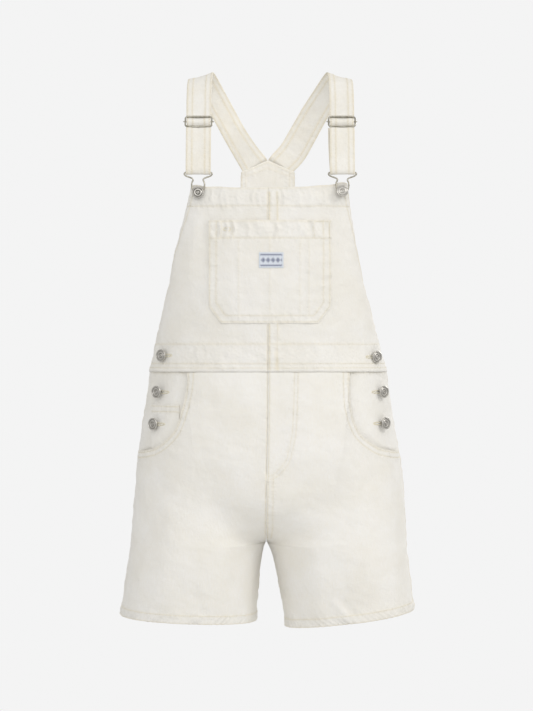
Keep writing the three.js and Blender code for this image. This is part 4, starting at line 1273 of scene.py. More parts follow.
def tube(points, radius, sides, flat_normal):
    """Closed ring of wire along a flat loop: vertices and faces."""
    points = np.asarray(points, float)
    ahead = unit(np.roll(points, -1, axis=0) - np.roll(points, 1, axis=0))
    flat_normal = np.broadcast_to(np.asarray(flat_normal, float), points.shape)
    outward = unit(np.cross(ahead, flat_normal))
    angles = np.linspace(0, 2 * math.pi, sides, endpoint=False)
    cosine, sine = np.cos(angles)[None, :, None], np.sin(angles)[None, :, None]
    rings = points[:, None, :] + radius * (outward[:, None, :] * cosine + flat_normal[:, None, :] * sine)
    index = np.arange(len(points) * sides).reshape(len(points), sides)
    after, beside = np.roll(index, -1, axis=0), np.roll(index, -1, axis=1)
    both = np.roll(after, -1, axis=1)
    faces = np.stack([index, beside, both, after], -1).reshape(-1, 4)
    return rings.reshape(-1, 3), faces


def turned_shape(profile, sides):
    """Body turned from a profile of radius and height, which starts and ends on its axis."""
    profile = np.asarray(profile, float)
    angles = np.linspace(0, 2 * math.pi, sides, endpoint=False)
    verts, faces = [(0, 0, profile[0][1])], []
    rings = profile[1:-1]
    for r, h in rings:
        verts += [(r * math.cos(a), r * math.sin(a), h) for a in angles]
    verts.append((0, 0, profile[-1][1]))
    top = len(verts) - 1
    for k in range(sides):
        n = (k + 1) % sides
        faces.append((0, 1 + n, 1 + k))
        for ring in range(len(rings) - 1):
            a, b = 1 + ring * sides, 1 + (ring + 1) * sides
            faces.append((a + k, a + n, b + n, b + k))
        last = 1 + (len(rings) - 1) * sides
        faces.append((last + k, last + n, top))
    return np.array(verts, float), faces


def solid(name, parts, material, tone=None):
    """One piece from several closed parts, each a pair of vertices and faces."""
    verts, faces = [], []
    for part_verts, part_faces in parts:
        shift = len(verts)
        verts += (np.asarray(part_verts) * MM).tolist()
        faces += [tuple(int(i) + shift for i in face) for face in part_faces]
    mesh = bpy.data.meshes.new(name)
    mesh.from_pydata(verts, [], faces)
    mesh.polygons.foreach_set("use_smooth", np.ones(len(faces), bool))
    # Painted shade for the metal, none where no values are given
    point_values(mesh, "tone", np.zeros(len(verts)) if tone is None else tone)
    mesh.materials.append(material)
    mesh.update()
    return link(name, mesh)


def lean(points, x, y, z, degrees):
    """Points turned about the X axis and moved to a place."""
    a = math.radians(degrees)
    px, py, pz = np.asarray(points, float).T
    turned = np.stack([px, py * math.cos(a) - pz * math.sin(a), py * math.sin(a) + pz * math.cos(a)], 1)
    return turned + np.array([x, y, z])


def build_slider(side, look):
    """Rounded wire frame with a bar across its middle whose ends taper to points."""
    corner = 3.2
    points = []
    for k, (sx, sz) in enumerate(((1, 1), (-1, 1), (-1, -1), (1, -1))):
        for step in np.linspace(0, 1, 9):
            angle = (k + step) * math.pi / 2
            points.append((
                sx * (SLIDER["half_width"] - corner) + corner * math.cos(angle), 0,
                sz * (SLIDER["half_height"] - corner) + corner * math.sin(angle),
            ))
    wire, faces = tube(points, SLIDER_WIRE, WIRE_SIDES, (0, 1, 0))
    pin = SLIDER["pin"]
    profile = [(0, -pin), (0.35, -pin + 0.15), (0.6, -pin + 0.7), (0.95, -pin + 2.4), (1.0, -pin + 3),
               (1.0, pin - 3), (0.95, pin - 2.4), (0.6, pin - 0.7), (0.35, pin - 0.15), (0, pin)]
    bar, bar_faces = turned_shape(profile, WIRE_SIDES)
    bar = bar[:, [2, 0, 1]]
    place = (STRAP_FRONT_X[side], SLIDER["y"], SLIDER["z"], -SLIDER["tilt"])
    piece = solid(f"slider_{side}", [(lean(wire, *place), faces), (lean(bar, *place), bar_faces)], look)
    finish_piece(piece, f"slider_{side}")


def build_hook(side, look):
    """One wire bent to a wide bar at the top and a narrow loop that holds the button below."""
    half = [(x, 0, z - FOLD["z"]) for x, z in HOOK]
    ring = np.array(half + [(-x, y, z) for x, y, z in half[-2:0:-1]], float)
    closed = np.concatenate([ring[-2:], ring, ring[:3]])
    points = through(closed, 2 + np.linspace(0, len(ring), 150, endpoint=False))
    wire, faces = tube(points, HOOK_WIRE, WIRE_SIDES, (0, 1, 0))
    wire = lean(wire, STRAP_FRONT_X[side], FOLD["y"], FOLD["z"], -HOOK_LEAN)
    finish_piece(solid(f"hook_{side}", [(wire, faces)], look), f"hook_{side}")


def build_button(name, profile, place, outward, foot, look, wear=0.0):
    """Turned button on its foot, with painted shade darker in its rings and towards its underside."""
    top = max(h for r, h in profile)
    widest = max(r for r, h in profile)
    profile = [(r, -foot if k < 2 else h) for k, (r, h) in enumerate(profile)]
    verts, faces = turned_shape(profile, 48)
    far = np.hypot(verts[:, 0], verts[:, 1])
    # Painted shade: darker in the button's rings and towards its underside, plus the button's own painted
    # shade offset
    rings = 0.62 * smooth((top - 0.25 - verts[:, 2]) / 0.5) * (far < widest * 0.86)
    metal_shade = rings * (1 + wear) + 0.45 * smooth((top - 1.4 - verts[:, 2]) / 1.4) + wear
    out = Vector(outward).normalized()
    turn = np.array(Vector((0, 0, 1)).rotation_difference(out).to_matrix())
    verts = verts @ turn.T + np.asarray(place, float)
    piece = solid(name, [(verts, faces)], look, np.clip(metal_shade, 0, 1).astype(np.float32))
    finish_piece(piece, name)


def build_buttons(look):
    tip = math.radians(HOOK_LEAN)
    for row in BIB_BUTTONS:
        wire_y = FOLD["y"] - math.tan(tip) * (FOLD["z"] - row["z"])
        place = np.array([row["x"], wire_y + HOOK_ABOVE_RIM, row["z"]])
        foot = float(bib_y(row["x"], row["z"])) - place[1] - LAYER_GAP
        outward = (0, -math.cos(tip), math.sin(tip))
        build_button(row["name"], BIB_BUTTON, place, outward, foot - 1, look, row["wear"])
    for row in SIDE_BUTTONS:
        side = "left" if row["x"] < 0 else "right"
        turn = math.radians(row["turn"])
        outward = np.array([math.sin(turn), -math.cos(turn), 0])
        if row["z"] > WAIST_Z:
            place = np.array([row["x"], float(bib_y(row["x"], row["z"])), row["z"]])
        else:
            place = leg_point(side, "front", row["z"], column_at(side, "front", row["z"], row["x"]))
        place = place + outward * BUTTON_LIFT
        build_button(row["name"], SIDE_BUTTON, place, outward, row["depth"] * 1.15 + 0.6, look)
        sew_buttonhole(row, side)


def sew_buttonhole(row, side):
    """Thread round the buttonhole under a side button, longer towards the front."""
    ring = loop(row["x"] - SIGN[side] * 4.6, row["z"], 8.2, 1.6)
    flat = resample([(x, 0, z) for x, z in ring], 0.7)
    if row["z"] > WAIST_Z:
        points, piece = xyz(flat[:, 0], bib_y(flat[:, 0], flat[:, 2]), flat[:, 2]), f"bib_{side}"
    else:
        points = leg_point(side, "front", flat[:, 2], column_at(side, "front", flat[:, 2], flat[:, 0]))
        piece = "coin_pocket" if row["depth"] == COIN_DEPTH else f"pocket_facing_{side}"
    sew(piece, points, "buttonhole")


# Stitches


def stitch_points(settings):
    """Places, directions and lengths of every stitch, laid on the finished pieces."""
    places, ahead, outward, lengths = [], [], [], []
    trees = {}
    for row in STITCH_ROWS:
        key = (row["piece"], row["inner"])
        if key not in trees:
            mesh = LOOKS[row["piece"]].data
            count = FACE_COUNT[row["piece"]]
            start = count if row["inner"] else 0
            corners = [tuple(mesh.polygons[k].vertices) for k in range(start, start + count)]
            trees[key] = BVHTree.FromPolygons([v.co for v in mesh.vertices], corners)
        dense = row["kind"] != "row"
        pitch = HOLE_PITCH if dense else settings.stitch_pitch * 1000
        line = resample(row["points"], pitch)
        ways = unit(np.gradient(line, axis=0))
        for point, way in zip(line, ways):
            spot, normal, _, _ = trees[key].find_nearest(Vector(point * MM))
            along = Vector(way)
            if dense:
                along = normal.cross(along)
            along = (along - normal * along.dot(normal)).normalized()
            places.append(spot + normal * settings.thread_width * 0.22)
            ahead.append(along)
            outward.append(normal)
            lengths.append(HOLE_STITCH if dense else settings.stitch_length)
            if not dense:
                # A short dark sphere sunk between two stitches: painted shade of the needle hole
                between = along * settings.stitch_pitch / 2
                places.append(spot + between - normal * settings.thread_width * 0.3)
                ahead.append(along)
                outward.append(normal)
                lengths.append(settings.hole_size)
    return places, ahead, outward, lengths


def stitch_tree():
    """Geometry nodes: a rounded length of thread on every point, turned along its seam."""
    tree = bpy.data.node_groups.new("Stitches", "GeometryNodeTree")
    face = tree.interface
    face.new_socket("Geometry", in_out="INPUT", socket_type="NodeSocketGeometry")
    width = face.new_socket("Thread width", in_out="INPUT", socket_type="NodeSocketFloat")
    uneven = face.new_socket("Unevenness", in_out="INPUT", socket_type="NodeSocketFloat")
    thread = face.new_socket("Thread", in_out="INPUT", socket_type="NodeSocketMaterial")
    face.new_socket("Geometry", in_out="OUTPUT", socket_type="NodeSocketGeometry")
    nodes, links = tree.nodes, tree.links

    def named(name, kind):
        node = nodes.new("GeometryNodeInputNamedAttribute")
        node.data_type = kind
        node.inputs["Name"].default_value = name
        return node.outputs["Attribute"]

    start, end = nodes.new("NodeGroupInput"), nodes.new("NodeGroupOutput")
    ball = nodes.new("GeometryNodeMeshUVSphere")
    ball.inputs["Segments"].default_value = 4
    ball.inputs["Rings"].default_value = 3
    ball.inputs["Radius"].default_value = 0.5
    first = nodes.new("FunctionNodeAlignRotationToVector")
    first.axis = "X"
    links.new(named("ahead", "FLOAT_VECTOR"), first.inputs["Vector"])
    second = nodes.new("FunctionNodeAlignRotationToVector")
    second.axis, second.pivot_axis = "Z", "X"
    links.new(first.outputs["Rotation"], second.inputs["Rotation"])
    links.new(named("outward", "FLOAT_VECTOR"), second.inputs["Vector"])
    chance = nodes.new("FunctionNodeRandomValue")
    chance.data_type = "FLOAT"
    chance.inputs["Seed"].default_value = 11
    low, high = nodes.new("ShaderNodeMath"), nodes.new("ShaderNodeMath")
    low.operation, high.operation = "SUBTRACT", "ADD"
    low.inputs[0].default_value = 1
    high.inputs[0].default_value = 1
    links.new(start.outputs["Unevenness"], low.inputs[1])
    links.new(start.outputs["Unevenness"], high.inputs[1])
    links.new(low.outputs[0], chance.inputs[2])
    links.new(high.outputs[0], chance.inputs[3])
    longer = nodes.new("ShaderNodeMath")
    longer.operation = "MULTIPLY"
    links.new(named("length", "FLOAT"), longer.inputs[0])
    links.new(chance.outputs[1], longer.inputs[1])
    size = nodes.new("ShaderNodeCombineXYZ")
    links.new(longer.outputs[0], size.inputs["X"])
    links.new(start.outputs["Thread width"], size.inputs["Y"])
    links.new(start.outputs["Thread width"], size.inputs["Z"])
    lay = nodes.new("GeometryNodeInstanceOnPoints")
    links.new(start.outputs["Geometry"], lay.inputs["Points"])
    links.new(ball.outputs["Mesh"], lay.inputs["Instance"])
    links.new(second.outputs["Rotation"], lay.inputs["Rotation"])
    links.new(size.outputs["Vector"], lay.inputs["Scale"])
    # Points shorter than a thread are needle holes, coloured as painted shade
    short = nodes.new("FunctionNodeCompare")
    short.data_type, short.operation = "FLOAT", "LESS_THAN"
    links.new(named("length", "FLOAT"), short.inputs["A"])
    short.inputs["B"].default_value = SHORTEST_THREAD
    hole = nodes.new("GeometryNodeStoreNamedAttribute")
    hole.data_type, hole.domain = "FLOAT", "INSTANCE"
    hole.inputs["Name"].default_value = "hole"
    links.new(lay.outputs["Instances"], hole.inputs["Geometry"])
    links.new(short.outputs["Result"], hole.inputs["Value"])
    real = nodes.new("GeometryNodeRealizeInstances")
    even = nodes.new("GeometryNodeSetShadeSmooth")
    paint = nodes.new("GeometryNodeSetMaterial")
    links.new(hole.outputs["Geometry"], real.inputs["Geometry"])
    links.new(real.outputs["Geometry"], even.inputs["Geometry"])
    links.new(even.outputs["Geometry"], paint.inputs["Geometry"])
    links.new(start.outputs["Thread"], paint.inputs["Material"])
    links.new(paint.outputs["Geometry"], end.inputs["Geometry"])
    return tree, width.identifier, uneven.identifier, thread.identifier


def build_stitches(settings, look):
    """All the thread as one piece: a point for each stitch, made into thread by the node tree."""
    places, ahead, outward, lengths = stitch_points(settings)
    mesh = bpy.data.meshes.new("stitch_places")
    mesh.from_pydata(places, [], [])
    point_values(mesh, "ahead", ahead, "FLOAT_VECTOR", "vector")
    point_values(mesh, "outward", outward, "FLOAT_VECTOR", "vector")
    point_values(mesh, "length", lengths)
    rows = link("stitch_rows", mesh)
    tree, width, uneven, thread = stitch_tree()
    modifier = rows.modifiers.new("Stitches", "NODES")
    modifier.node_group = tree
    modifier[width] = settings.thread_width
    modifier[uneven] = THREAD_UNEVENNESS
    modifier[thread] = look
    rows.update_tag()
    bpy.context.view_layer.update()
    made = bpy.data.meshes.new_from_object(rows.evaluated_get(bpy.context.evaluated_depsgraph_get()))
    bpy.data.objects.remove(rows)
    if not made.materials:
        made.materials.append(look)
    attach(link("stitching", made), "root")


# Materials


class Nodes:
    """Shorthand for building a material's node tree."""

    def __init__(self, name):
        self.material = bpy.data.materials.new(name)
        self.material.use_nodes = True
        self.tree = self.material.node_tree
        self.shader = self.tree.nodes["Principled BSDF"]

    def add(self, kind, **settings):
        node = self.tree.nodes.new(kind)
        for name, value in settings.items():
            setattr(node, name, value)
        return node

    def plug(self, value, socket):
        if isinstance(value, bpy.types.NodeSocket):
            self.tree.links.new(value, socket)
        else:
            socket.default_value = value

    def maths(self, operation, a, b=0.0):
        node = self.add("ShaderNodeMath", operation=operation)
        self.plug(a, node.inputs[0])
        self.plug(b, node.inputs[1])
        return node.outputs[0]

    def blend(self, share, a, b):
        node = self.add("ShaderNodeMix", data_type="RGBA")
        self.plug(share, node.inputs["Factor"])
        self.plug(a, node.inputs[6])
        self.plug(b, node.inputs[7])
        return node.outputs[2]

    def spread(self, value, low, high, new_low, new_high):
        node = self.add("ShaderNodeMapRange", clamp=True)
        self.plug(value, node.inputs["Value"])
        limits = {"From Min": low, "From Max": high, "To Min": new_low, "To Max": new_high}
        for name, number in limits.items():
            node.inputs[name].default_value = number
        return node.outputs["Result"]

    def place(self, stretch=(1, 1, 1), turn=0.0, flat=False):
        """Coordinates in metres: the cloth's own flat map, or the object's space."""
        if flat:
            source = self.add("ShaderNodeUVMap", uv_map="flat").outputs["UV"]
        else:
            source = self.add("ShaderNodeTexCoord").outputs["Object"]
        node = self.add("ShaderNodeMapping")
        self.tree.links.new(source, node.inputs["Vector"])
        node.inputs["Scale"].default_value = stretch
        node.inputs["Rotation"].default_value = (0, 0, turn)
        return node.outputs["Vector"]

    def noise(self, where, size, detail=2.0, rough=0.5):
        node = self.add("ShaderNodeTexNoise")
        self.tree.links.new(where, node.inputs["Vector"])
        node.inputs["Scale"].default_value = 1 / size
        node.inputs["Detail"].default_value = detail
        node.inputs["Roughness"].default_value = rough
        return node.outputs["Fac"]

    def bump(self, height, distance, strength=1.0, under=None):
        node = self.add("ShaderNodeBump")
        self.plug(height, node.inputs["Height"])
        node.inputs["Distance"].default_value = distance
        node.inputs["Strength"].default_value = strength
        if under is not None:
            self.plug(under, node.inputs["Normal"])
        return node.outputs["Normal"]

    def set(self, **values):
        for name, value in values.items():
            self.plug(value, self.shader.inputs[name.replace("_", " ")])


def colour(red, green, blue):
    """Scene colour of an sRGB one given from 0 to 255."""
    channels = [c / 255 for c in (red, green, blue)]
    return tuple(c / 12.92 if c <= 0.04045 else ((c + 0.055) / 1.055) ** 2.4 for c in channels) + (1.0,)


def denim(name, pale, warm, cream):
    """Washed twill: diagonal ribs, slubs along the warp, faint mottling, and cream along seams and turned
    edges that is partly rubbing and partly painted shade.
    """
    n = Nodes(name)
    cloth = n.place(flat=True)
    rib = n.add("ShaderNodeTexWave", wave_type="BANDS", bands_direction="DIAGONAL", wave_profile="SIN")
    n.tree.links.new(n.place((1, 0.62, 1), flat=True), rib.inputs["Vector"])
    rib.inputs["Scale"].default_value = 360
    rib.inputs["Distortion"].default_value = 1.2
    rib.inputs["Detail"].default_value = 1
    rib.inputs["Detail Scale"].default_value = 2
    slub = n.noise(n.place((1, 0.12, 1), flat=True), 0.0011, 2, 0.6)
    weft = n.noise(n.place((0.16, 1, 1), flat=True), 0.0012, 2, 0.6)
    grain = n.noise(cloth, 0.0016, 3, 0.65)
    cloud = n.noise(n.place(), 0.055, 3, 0.55)
    fleck = n.noise(n.place(), 0.006, 3, 0.6)
    # Cream along seams and turned edges from the mesh attribute: partly rubbing of the washed cloth, partly
    # painted shade
    worn_and_shaded = n.add("ShaderNodeAttribute", attribute_name="tone").outputs["Fac"]
    base = n.blend(n.spread(cloud, 0.35, 0.65, 0, 1), pale, warm)
    thread = n.maths("ADD", n.maths("MULTIPLY", slub, 0.6), n.maths("MULTIPLY", grain, 0.4))
    dark = n.blend(n.spread(thread, 0.36, 0.62, 0.16, 0), base, cream)
    shade = n.maths("MULTIPLY", worn_and_shaded, n.spread(fleck, 0.3, 0.7, 0.55, 1.25))
    n.set(Base_Color=n.blend(shade, dark, cream), Roughness=n.spread(fleck, 0.3, 0.7, 0.86, 0.96))
    n.set(Sheen_Weight=0.12, Sheen_Roughness=0.55, Specular_IOR_Level=0.22)
    weave = n.maths("ADD", n.maths("MULTIPLY", rib.outputs["Fac"], 0.5), n.maths("MULTIPLY", slub, 0.8))
    weave = n.maths("ADD", weave, n.maths("MULTIPLY", weft, 0.5))
    fine = n.bump(weave, 0.00022, 0.8)
    rough = n.bump(fleck, 0.0013, 0.6, fine)
    nips = n.noise(n.place((1, 1, 1.25)), 0.0046, 0.5, 0.4)
    close = n.add("ShaderNodeAttribute", attribute_name="gather").outputs["Fac"]
    n.set(Normal=n.bump(n.maths("MULTIPLY", nips, close), 0.0018, 0.5, rough))
    return n.material


def thread_look(name, pale, shade, hole_shade_colour):
    """Soft ecru thread, with painted shade in the needle holes."""
    n = Nodes(name)
    where = n.place()
    twist = n.noise(where, 0.0006, 2, 0.6)
    # Needle holes get the painted shade colour
    hole = n.add("ShaderNodeAttribute", attribute_name="hole").outputs["Fac"]
    n.set(Base_Color=n.blend(hole, n.blend(twist, pale, shade), hole_shade_colour))
    n.set(Roughness=0.7, Sheen_Weight=0.2, Normal=n.bump(twist, 0.0001, 0.7))
    return n.material


def metal(name, light, dark, roughness, mottle):
    """Plated metal with a cloudy, slightly rubbed finish, darkened towards a painted shade colour where its
    mesh attribute asks.
    """
    n = Nodes(name)
    cloud = n.noise(n.place(), 0.004, 4, 0.65)
    pits = n.noise(n.place(), 0.0007, 3, 0.6)
    share = n.spread(cloud, 0.5 - mottle, 0.5 + mottle, 0, 1)
    # Painted shade from the mesh attribute: darker towards a shade colour in button rings and undersides
    metal_shade = n.add("ShaderNodeAttribute", attribute_name="tone").outputs["Fac"]
    n.set(Base_Color=n.blend(metal_shade, n.blend(share, dark, light), colour(84, 80, 74)), Metallic=1.0)
    n.set(Roughness=n.spread(cloud, 0.35, 0.65, roughness + 0.1, roughness - 0.05))
    n.set(Normal=n.bump(pits, 0.00004, 0.5))
    return n.material


def label_look(name, pale, shade, marked):
    """Pale woven label: a zigzag near each long edge and a row of small diamonds between them."""
    n = Nodes(name)
    flat = n.add("ShaderNodeUVMap", uv_map="flat").outputs["UV"]
    split = n.add("ShaderNodeSeparateXYZ")
    n.tree.links.new(flat, split.inputs[0])
    u, v = split.outputs["X"], split.outputs["Y"]
    middle_u, middle_v = LABEL["width"] * MM / 2, LABEL["height"] * MM / 2

    def band(value, centre, half):
        far = n.maths("ABSOLUTE", n.maths("SUBTRACT", value, centre))
        return n.spread(far, half - 0.0001, half + 0.0001, 1, 0)

    zigzag = n.maths("PINGPONG", u, 0.0018)
    marks = band(n.maths("SUBTRACT", v, zigzag), 0.0024, 0.00062)
    marks = n.maths("MAXIMUM", marks, band(n.maths("ADD", v, zigzag), 0.0186, 0.00062))
    across = n.maths("PINGPONG", n.maths("ADD", u, 0.0008), 0.0033)
    away = n.maths("ABSOLUTE", n.maths("SUBTRACT", v, middle_v))
    reach = n.maths("ADD", n.maths("MULTIPLY", across, 1.15), away)
    marks = n.maths("MAXIMUM", marks, band(reach, 0.0030, 0.0005))
    marks = n.maths("MAXIMUM", marks, n.spread(reach, 0.0015, 0.0017, 1, 0))
    inside = n.maths("MULTIPLY", band(u, middle_u, 0.0147), band(v, middle_v, 0.0096))
    yarn = n.noise(n.place((0.2, 1, 1), flat=True), 0.0004, 2, 0.6)
    ground = n.blend(yarn, pale, shade)
    n.set(Base_Color=n.blend(n.maths("MULTIPLY", marks, inside), ground, marked))
    n.set(Roughness=0.82, Sheen_Weight=0.15, Normal=n.bump(yarn, 0.00012, 0.8))
    return n.material


def looks(settings):
    """Every material of the shortalls by name, made on first use."""
    s = settings
    wanted = {
        "denim": lambda name: denim(name, s.denim_colour, s.denim_patches, s.denim_worn_and_shaded),
        "strap_denim": lambda name: denim(name, s.strap_colour, s.strap_patches, s.strap_worn_and_shaded),
        "label": lambda name: label_look(name, s.label_colour, s.label_shade, s.label_marks),
        "thread": lambda name: thread_look(name, s.thread_colour, s.thread_shade, s.hole_shade_colour),
        "button_metal": lambda name: metal(name, s.button_colour, s.button_patches, 0.3, 0.2),
        "wire_metal": lambda name: metal(name, s.wire_colour, s.wire_patches, 0.32, 0.16),
    }
    made = {}
    for name, make in wanted.items():
        title = "shortalls " + name.replace("_", " ")
        made[name] = bpy.data.materials.get(title) or make(title)
    return made


# Stage


def build_world():
    """Even pale backdrop behind the shortalls, with more light from the front and the right."""
    world = bpy.data.worlds.new("studio")
    bpy.context.scene.world = world
    world.use_nodes = True
    tree = world.node_tree
    nodes, links = tree.nodes, tree.links
    where = nodes.new("ShaderNodeTexCoord").outputs["Generated"]
    toward = nodes.new("ShaderNodeVectorMath")
    toward.operation = "DOT_PRODUCT"
    toward.inputs[1].default_value = Vector(KEY_FROM).normalized()
    links.new(where, toward.inputs[0])
    level = nodes.new("ShaderNodeMapRange")
    links.new(toward.outputs["Value"], level.inputs["Value"])
    limits = {"From Min": -1, "From Max": 1, "To Min": FILL_LEVEL, "To Max": KEY_LEVEL}
    for name, number in limits.items():
        level.inputs[name].default_value = number
    split = nodes.new("ShaderNodeSeparateXYZ")
    links.new(where, split.inputs[0])
    behind = nodes.new("ShaderNodeMapRange")
    behind.inputs["From Min"].default_value = BACKDROP_FROM
    behind.inputs["From Max"].default_value = BACKDROP_FULL
    links.new(split.outputs["Y"], behind.inputs["Value"])
    both = nodes.new("ShaderNodeMix")
    both.data_type = "FLOAT"
    links.new(behind.outputs["Result"], both.inputs["Factor"])
    links.new(level.outputs["Result"], both.inputs[2])
    both.inputs[3].default_value = BACKDROP
    shade = nodes["Background"]
    links.new(both.outputs[0], shade.inputs["Color"])


def area_light(name, power, size, place, target):
    """Soft square light at a place, turned to face a target."""
    data = bpy.data.lights.new(name, "AREA")
    data.energy = power
    data.size = size
    light = bpy.data.objects.new(name, data)
    light.location = place
    light.rotation_euler = (Vector(target) - light.location).to_track_quat("-Z", "Y").to_euler()
    bpy.context.scene.collection.objects.link(light)
    return light


def build_floor():
    """Plain pale floor as far below the straps as a standing wearer's feet are."""
    left, right, near, far = FLOOR["left"], FLOOR["right"], FLOOR["near"], FLOOR["far"]
    corners = [(left, near, FLOOR_Z), (right, near, FLOOR_Z), (right, far, FLOOR_Z), (left, far, FLOOR_Z)]
    mesh = bpy.data.meshes.new("floor")
    mesh.from_pydata(corners, [], [(0, 1, 2, 3)])
    material = bpy.data.materials.new("floor paint")
    material.use_nodes = True
    paint = material.node_tree.nodes["Principled BSDF"]
    paint.inputs["Base Color"].default_value = (*FLOOR_COLOUR, 1)
    paint.inputs["Roughness"].default_value = 0.9
    mesh.materials.append(material)
    floor = bpy.data.objects.new("floor", mesh)
    bpy.context.scene.collection.objects.link(floor)
    return floor


def build_stage(settings):
    """Camera where the photograph was taken from, the backdrop, the floor and the soft lights."""
    scene = bpy.context.scene
    build_world()
    camera = bpy.data.objects.new("camera", bpy.data.cameras.new("camera"))
    camera.location = (CAMERA["x"] * MM, CAMERA["y"] * MM, CAMERA["z"] * MM)
    camera.rotation_euler = (math.pi / 2, 0, 0)
    camera.data.lens = CAMERA["lens"]
    camera.data.clip_end = SIGHT
    behind_neck = (NECK_PLACE[0], 1, NECK_PLACE[2])
    lights = [
        area_light("key", settings.key_power, KEY_SIZE, KEY_PLACE, WAIST_MIDDLE),
        area_light("front", settings.front_power, FRONT_SIZE, FRONT_PLACE, BIB_MIDDLE),
        area_light("neck", settings.neck_power, NECK_SIZE, NECK_PLACE, behind_neck),
        area_light("back", settings.back_power, BACK_SIZE, BACK_PLACE, WAIST_MIDDLE),
    ]
    lights[0].data.color = KEY_COLOUR
    scene.collection.objects.link(camera)
    build_floor()
    scene.camera = camera
    scene.view_settings.view_transform = "Standard"
    scene.view_settings.look = "None"


# Add-on


def size_setting(name, description, default, low, high):
    """A size that a user may change."""
    return bpy.props.FloatProperty(
        name=name, description=description, default=default, min=low, max=high,
        subtype="DISTANCE", unit="LENGTH",
    )


def power_setting(name, description, default):
    """The power of a light that a user may change."""
    return bpy.props.FloatProperty(name=name, description=description, default=default, min=0, unit="POWER")


def colour_setting(name, description, red, green, blue):
    """A colour that a user may change, given as an sRGB one from 0 to 255."""
    return bpy.props.FloatVectorProperty(
        name=name, description=description, default=colour(red, green, blue), min=0, max=1,
        size=4, subtype="COLOR",
    )


class ShortallsSettings(bpy.types.PropertyGroup):
    """Sizes, powers and colours that the operators share."""

    cell: size_setting("Cloth cell", "Size of a cell of the cloth's grid", 0.0022, 0.001, 0.01)
    pucker: bpy.props.FloatProperty(
        name="Pucker", description="How strongly the seams pucker the cloth", default=1.0, min=0, max=2,
        subtype="FACTOR",
    )
    stitch_pitch: size_setting("Stitch pitch", "Distance from one stitch to the next", 0.0033, 0.001, 0.01)
    stitch_length: size_setting("Stitch length", "Length of thread that shows", 0.0027, 0.0005, 0.01)
    hole_size: size_setting(
        "Needle hole", "Size of the shaded hole between two stitches", 0.00095, 0.0001, 0.003,
    )
    thread_width: size_setting("Thread width", "Thickness of the thread", 0.0006, 0.0001, 0.003)
    key_power: power_setting("Key power", "Power of the soft key light", 15.0)
    neck_power: power_setting("Neck power", "Power of the small light that fills the neck", 0.028)
    front_power: power_setting("Front power", "Power of the light before the bib", 8.0)
    back_power: power_setting("Back power", "Power of the light behind the back panel", 26.0)
    denim_colour: colour_setting("Denim", "Main colour of the denim", 238, 236, 232)
    denim_patches: colour_setting("Denim patches", "Colour of its warmer patches", 234, 231, 224)
    # Cream along seams and turned edges, partly rubbing and partly painted shade
    denim_worn_and_shaded: colour_setting("Worn denim", "Colour of its worn edges and seams", 226, 215, 187)
    strap_colour: colour_setting("Straps", "Main colour of the straps", 237, 235, 230)
    strap_patches: colour_setting("Strap patches", "Colour of their warmer patches", 233, 229, 220)
    # Cream along the straps' seams and edges, partly rubbing and partly painted shade
    strap_worn_and_shaded: colour_setting("Worn straps", "Colour of their worn edges", 225, 213, 184)
    thread_colour: colour_setting("Thread", "Main colour of the thread", 240, 234, 214)
    thread_shade: colour_setting("Thread shade", "Colour in the twist of the thread", 229, 221, 196)
    # Painted shade in the needle holes between stitches
    hole_shade_colour: colour_setting("Needle holes", "Colour between two stitches", 176, 166, 142)
    button_colour: colour_setting("Buttons", "Bright colour of the buttons", 206, 203, 197)
    button_patches: colour_setting("Button patches", "Dull colour of the buttons", 178, 174, 167)
    wire_colour: colour_setting("Wire", "Bright colour of the hooks and sliders", 190, 186, 174)
    wire_patches: colour_setting("Wire patches", "Dull colour of the hooks and sliders", 140, 135, 121)
    label_colour: colour_setting("Label", "Main colour of the label", 218, 222, 229)
    label_shade: colour_setting("Label shade", "Colour between the label's yarns", 203, 209, 219)
    label_marks: colour_setting("Label marks", "Colour of the pattern on the label", 58, 70, 112)


class SHORTALLS_OT_legs(bpy.types.Operator):
    """Front and back leg panels with folds, seams and turned hems"""

    bl_idname = "shortalls.legs"
    bl_label = "Legs"

    def execute(self, context):
        settings = context.scene.shortalls
        for side in ("left", "right"):
            for face in ("front", "back"):
                build_leg(side, face, settings, looks(settings)["denim"])
        return {"FINISHED"}


class SHORTALLS_OT_bib(bpy.types.Operator):
    """Bib halves with their pocket and its label"""

    bl_idname = "shortalls.bib"
    bl_label = "Bib"

    def execute(self, context):
        settings = context.scene.shortalls
        build_bib("left", settings, looks(settings)["denim"])
        build_bib("right", settings, looks(settings)["denim"])
        build_pocket(settings, looks(settings)["denim"])
        build_label(settings, looks(settings)["label"])
        return {"FINISHED"}


class SHORTALLS_OT_back(bpy.types.Operator):
    """Back panel that rises to the yoke where the straps meet"""

    bl_idname = "shortalls.back"
    bl_label = "Back panel"

    def execute(self, context):
        settings = context.scene.shortalls
        build_back(settings, looks(settings)["denim"])
        return {"FINISHED"}


class SHORTALLS_OT_facings(bpy.types.Operator):
    """Pocket facings behind the scoops and the coin pocket on the left one"""

    bl_idname = "shortalls.facings"
    bl_label = "Pocket facings"

    def execute(self, context):
        settings = context.scene.shortalls
        build_facing("left", settings, looks(settings)["denim"])
        build_facing("right", settings, looks(settings)["denim"])
        build_coin(settings, looks(settings)["denim"])
        return {"FINISHED"}


class SHORTALLS_OT_straps(bpy.types.Operator):
    """Straps from the yoke through the sliders and hooks"""

    bl_idname = "shortalls.straps"
    bl_label = "Straps"

    def execute(self, context):
        settings = context.scene.shortalls
        for side in ("left", "right"):
            build_strap(side, settings, looks(settings)["strap_denim"])
        return {"FINISHED"}


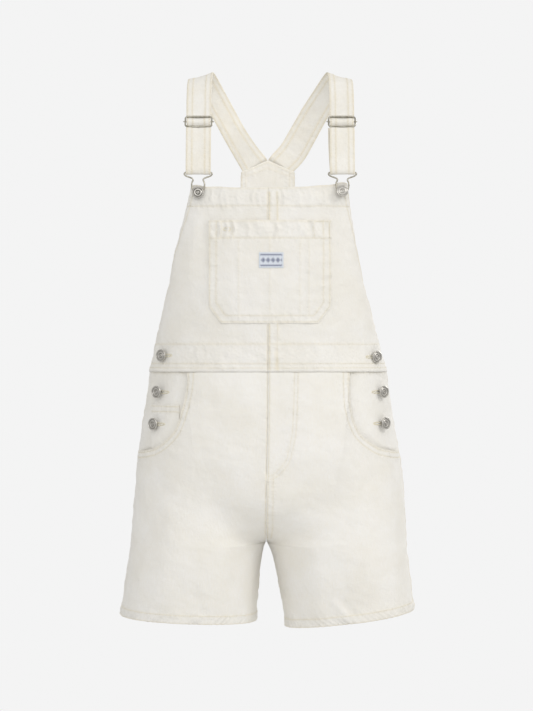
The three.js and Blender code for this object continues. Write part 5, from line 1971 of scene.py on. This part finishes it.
class SHORTALLS_OT_hardware(bpy.types.Operator):
    """Sliders, hooks and buttons"""

    bl_idname = "shortalls.hardware"
    bl_label = "Hardware"

    def execute(self, context):
        settings = context.scene.shortalls
        for side in ("left", "right"):
            build_slider(side, looks(settings)["wire_metal"])
            build_hook(side, looks(settings)["wire_metal"])
        build_buttons(looks(settings)["button_metal"])
        return {"FINISHED"}


class SHORTALLS_OT_stitches(bpy.types.Operator):
    """Thread along every seam, laid on the finished cloth"""

    bl_idname = "shortalls.stitches"
    bl_label = "Stitches"

    def execute(self, context):
        settings = context.scene.shortalls
        build_stitches(settings, looks(settings)["thread"])
        return {"FINISHED"}


class SHORTALLS_OT_stage(bpy.types.Operator):
    """Camera, light and pale surroundings"""

    bl_idname = "shortalls.stage"
    bl_label = "Stage"

    def execute(self, context):
        build_stage(context.scene.shortalls)
        return {"FINISHED"}


OPERATORS = (
    SHORTALLS_OT_legs, SHORTALLS_OT_bib, SHORTALLS_OT_back, SHORTALLS_OT_facings,
    SHORTALLS_OT_straps, SHORTALLS_OT_hardware, SHORTALLS_OT_stitches, SHORTALLS_OT_stage,
)


class SHORTALLS_PT_panel(bpy.types.Panel):
    """Sizes and build steps of the shortalls"""

    bl_label = "Shortalls"
    bl_idname = "SHORTALLS_PT_panel"
    bl_space_type = "VIEW_3D"
    bl_region_type = "UI"
    bl_category = "Shortalls"

    def draw(self, context):
        for name in ShortallsSettings.__annotations__:
            self.layout.prop(context.scene.shortalls, name)
        for operator in OPERATORS:
            self.layout.operator(operator.bl_idname)


def register():
    for item in (ShortallsSettings, *OPERATORS, SHORTALLS_PT_panel):
        bpy.utils.register_class(item)
    bpy.types.Scene.shortalls = bpy.props.PointerProperty(type=ShortallsSettings)


def unregister():
    del bpy.types.Scene.shortalls
    for item in (SHORTALLS_PT_panel, *reversed(OPERATORS), ShortallsSettings):
        bpy.utils.unregister_class(item)


def main():
    register()
    bpy.ops.shortalls.legs()
    bpy.ops.shortalls.bib()
    bpy.ops.shortalls.back()
    bpy.ops.shortalls.facings()
    bpy.ops.shortalls.straps()
    bpy.ops.shortalls.hardware()
    bpy.ops.shortalls.stitches()
    bpy.ops.shortalls.stage()


if __name__ == "__main__":
    main()
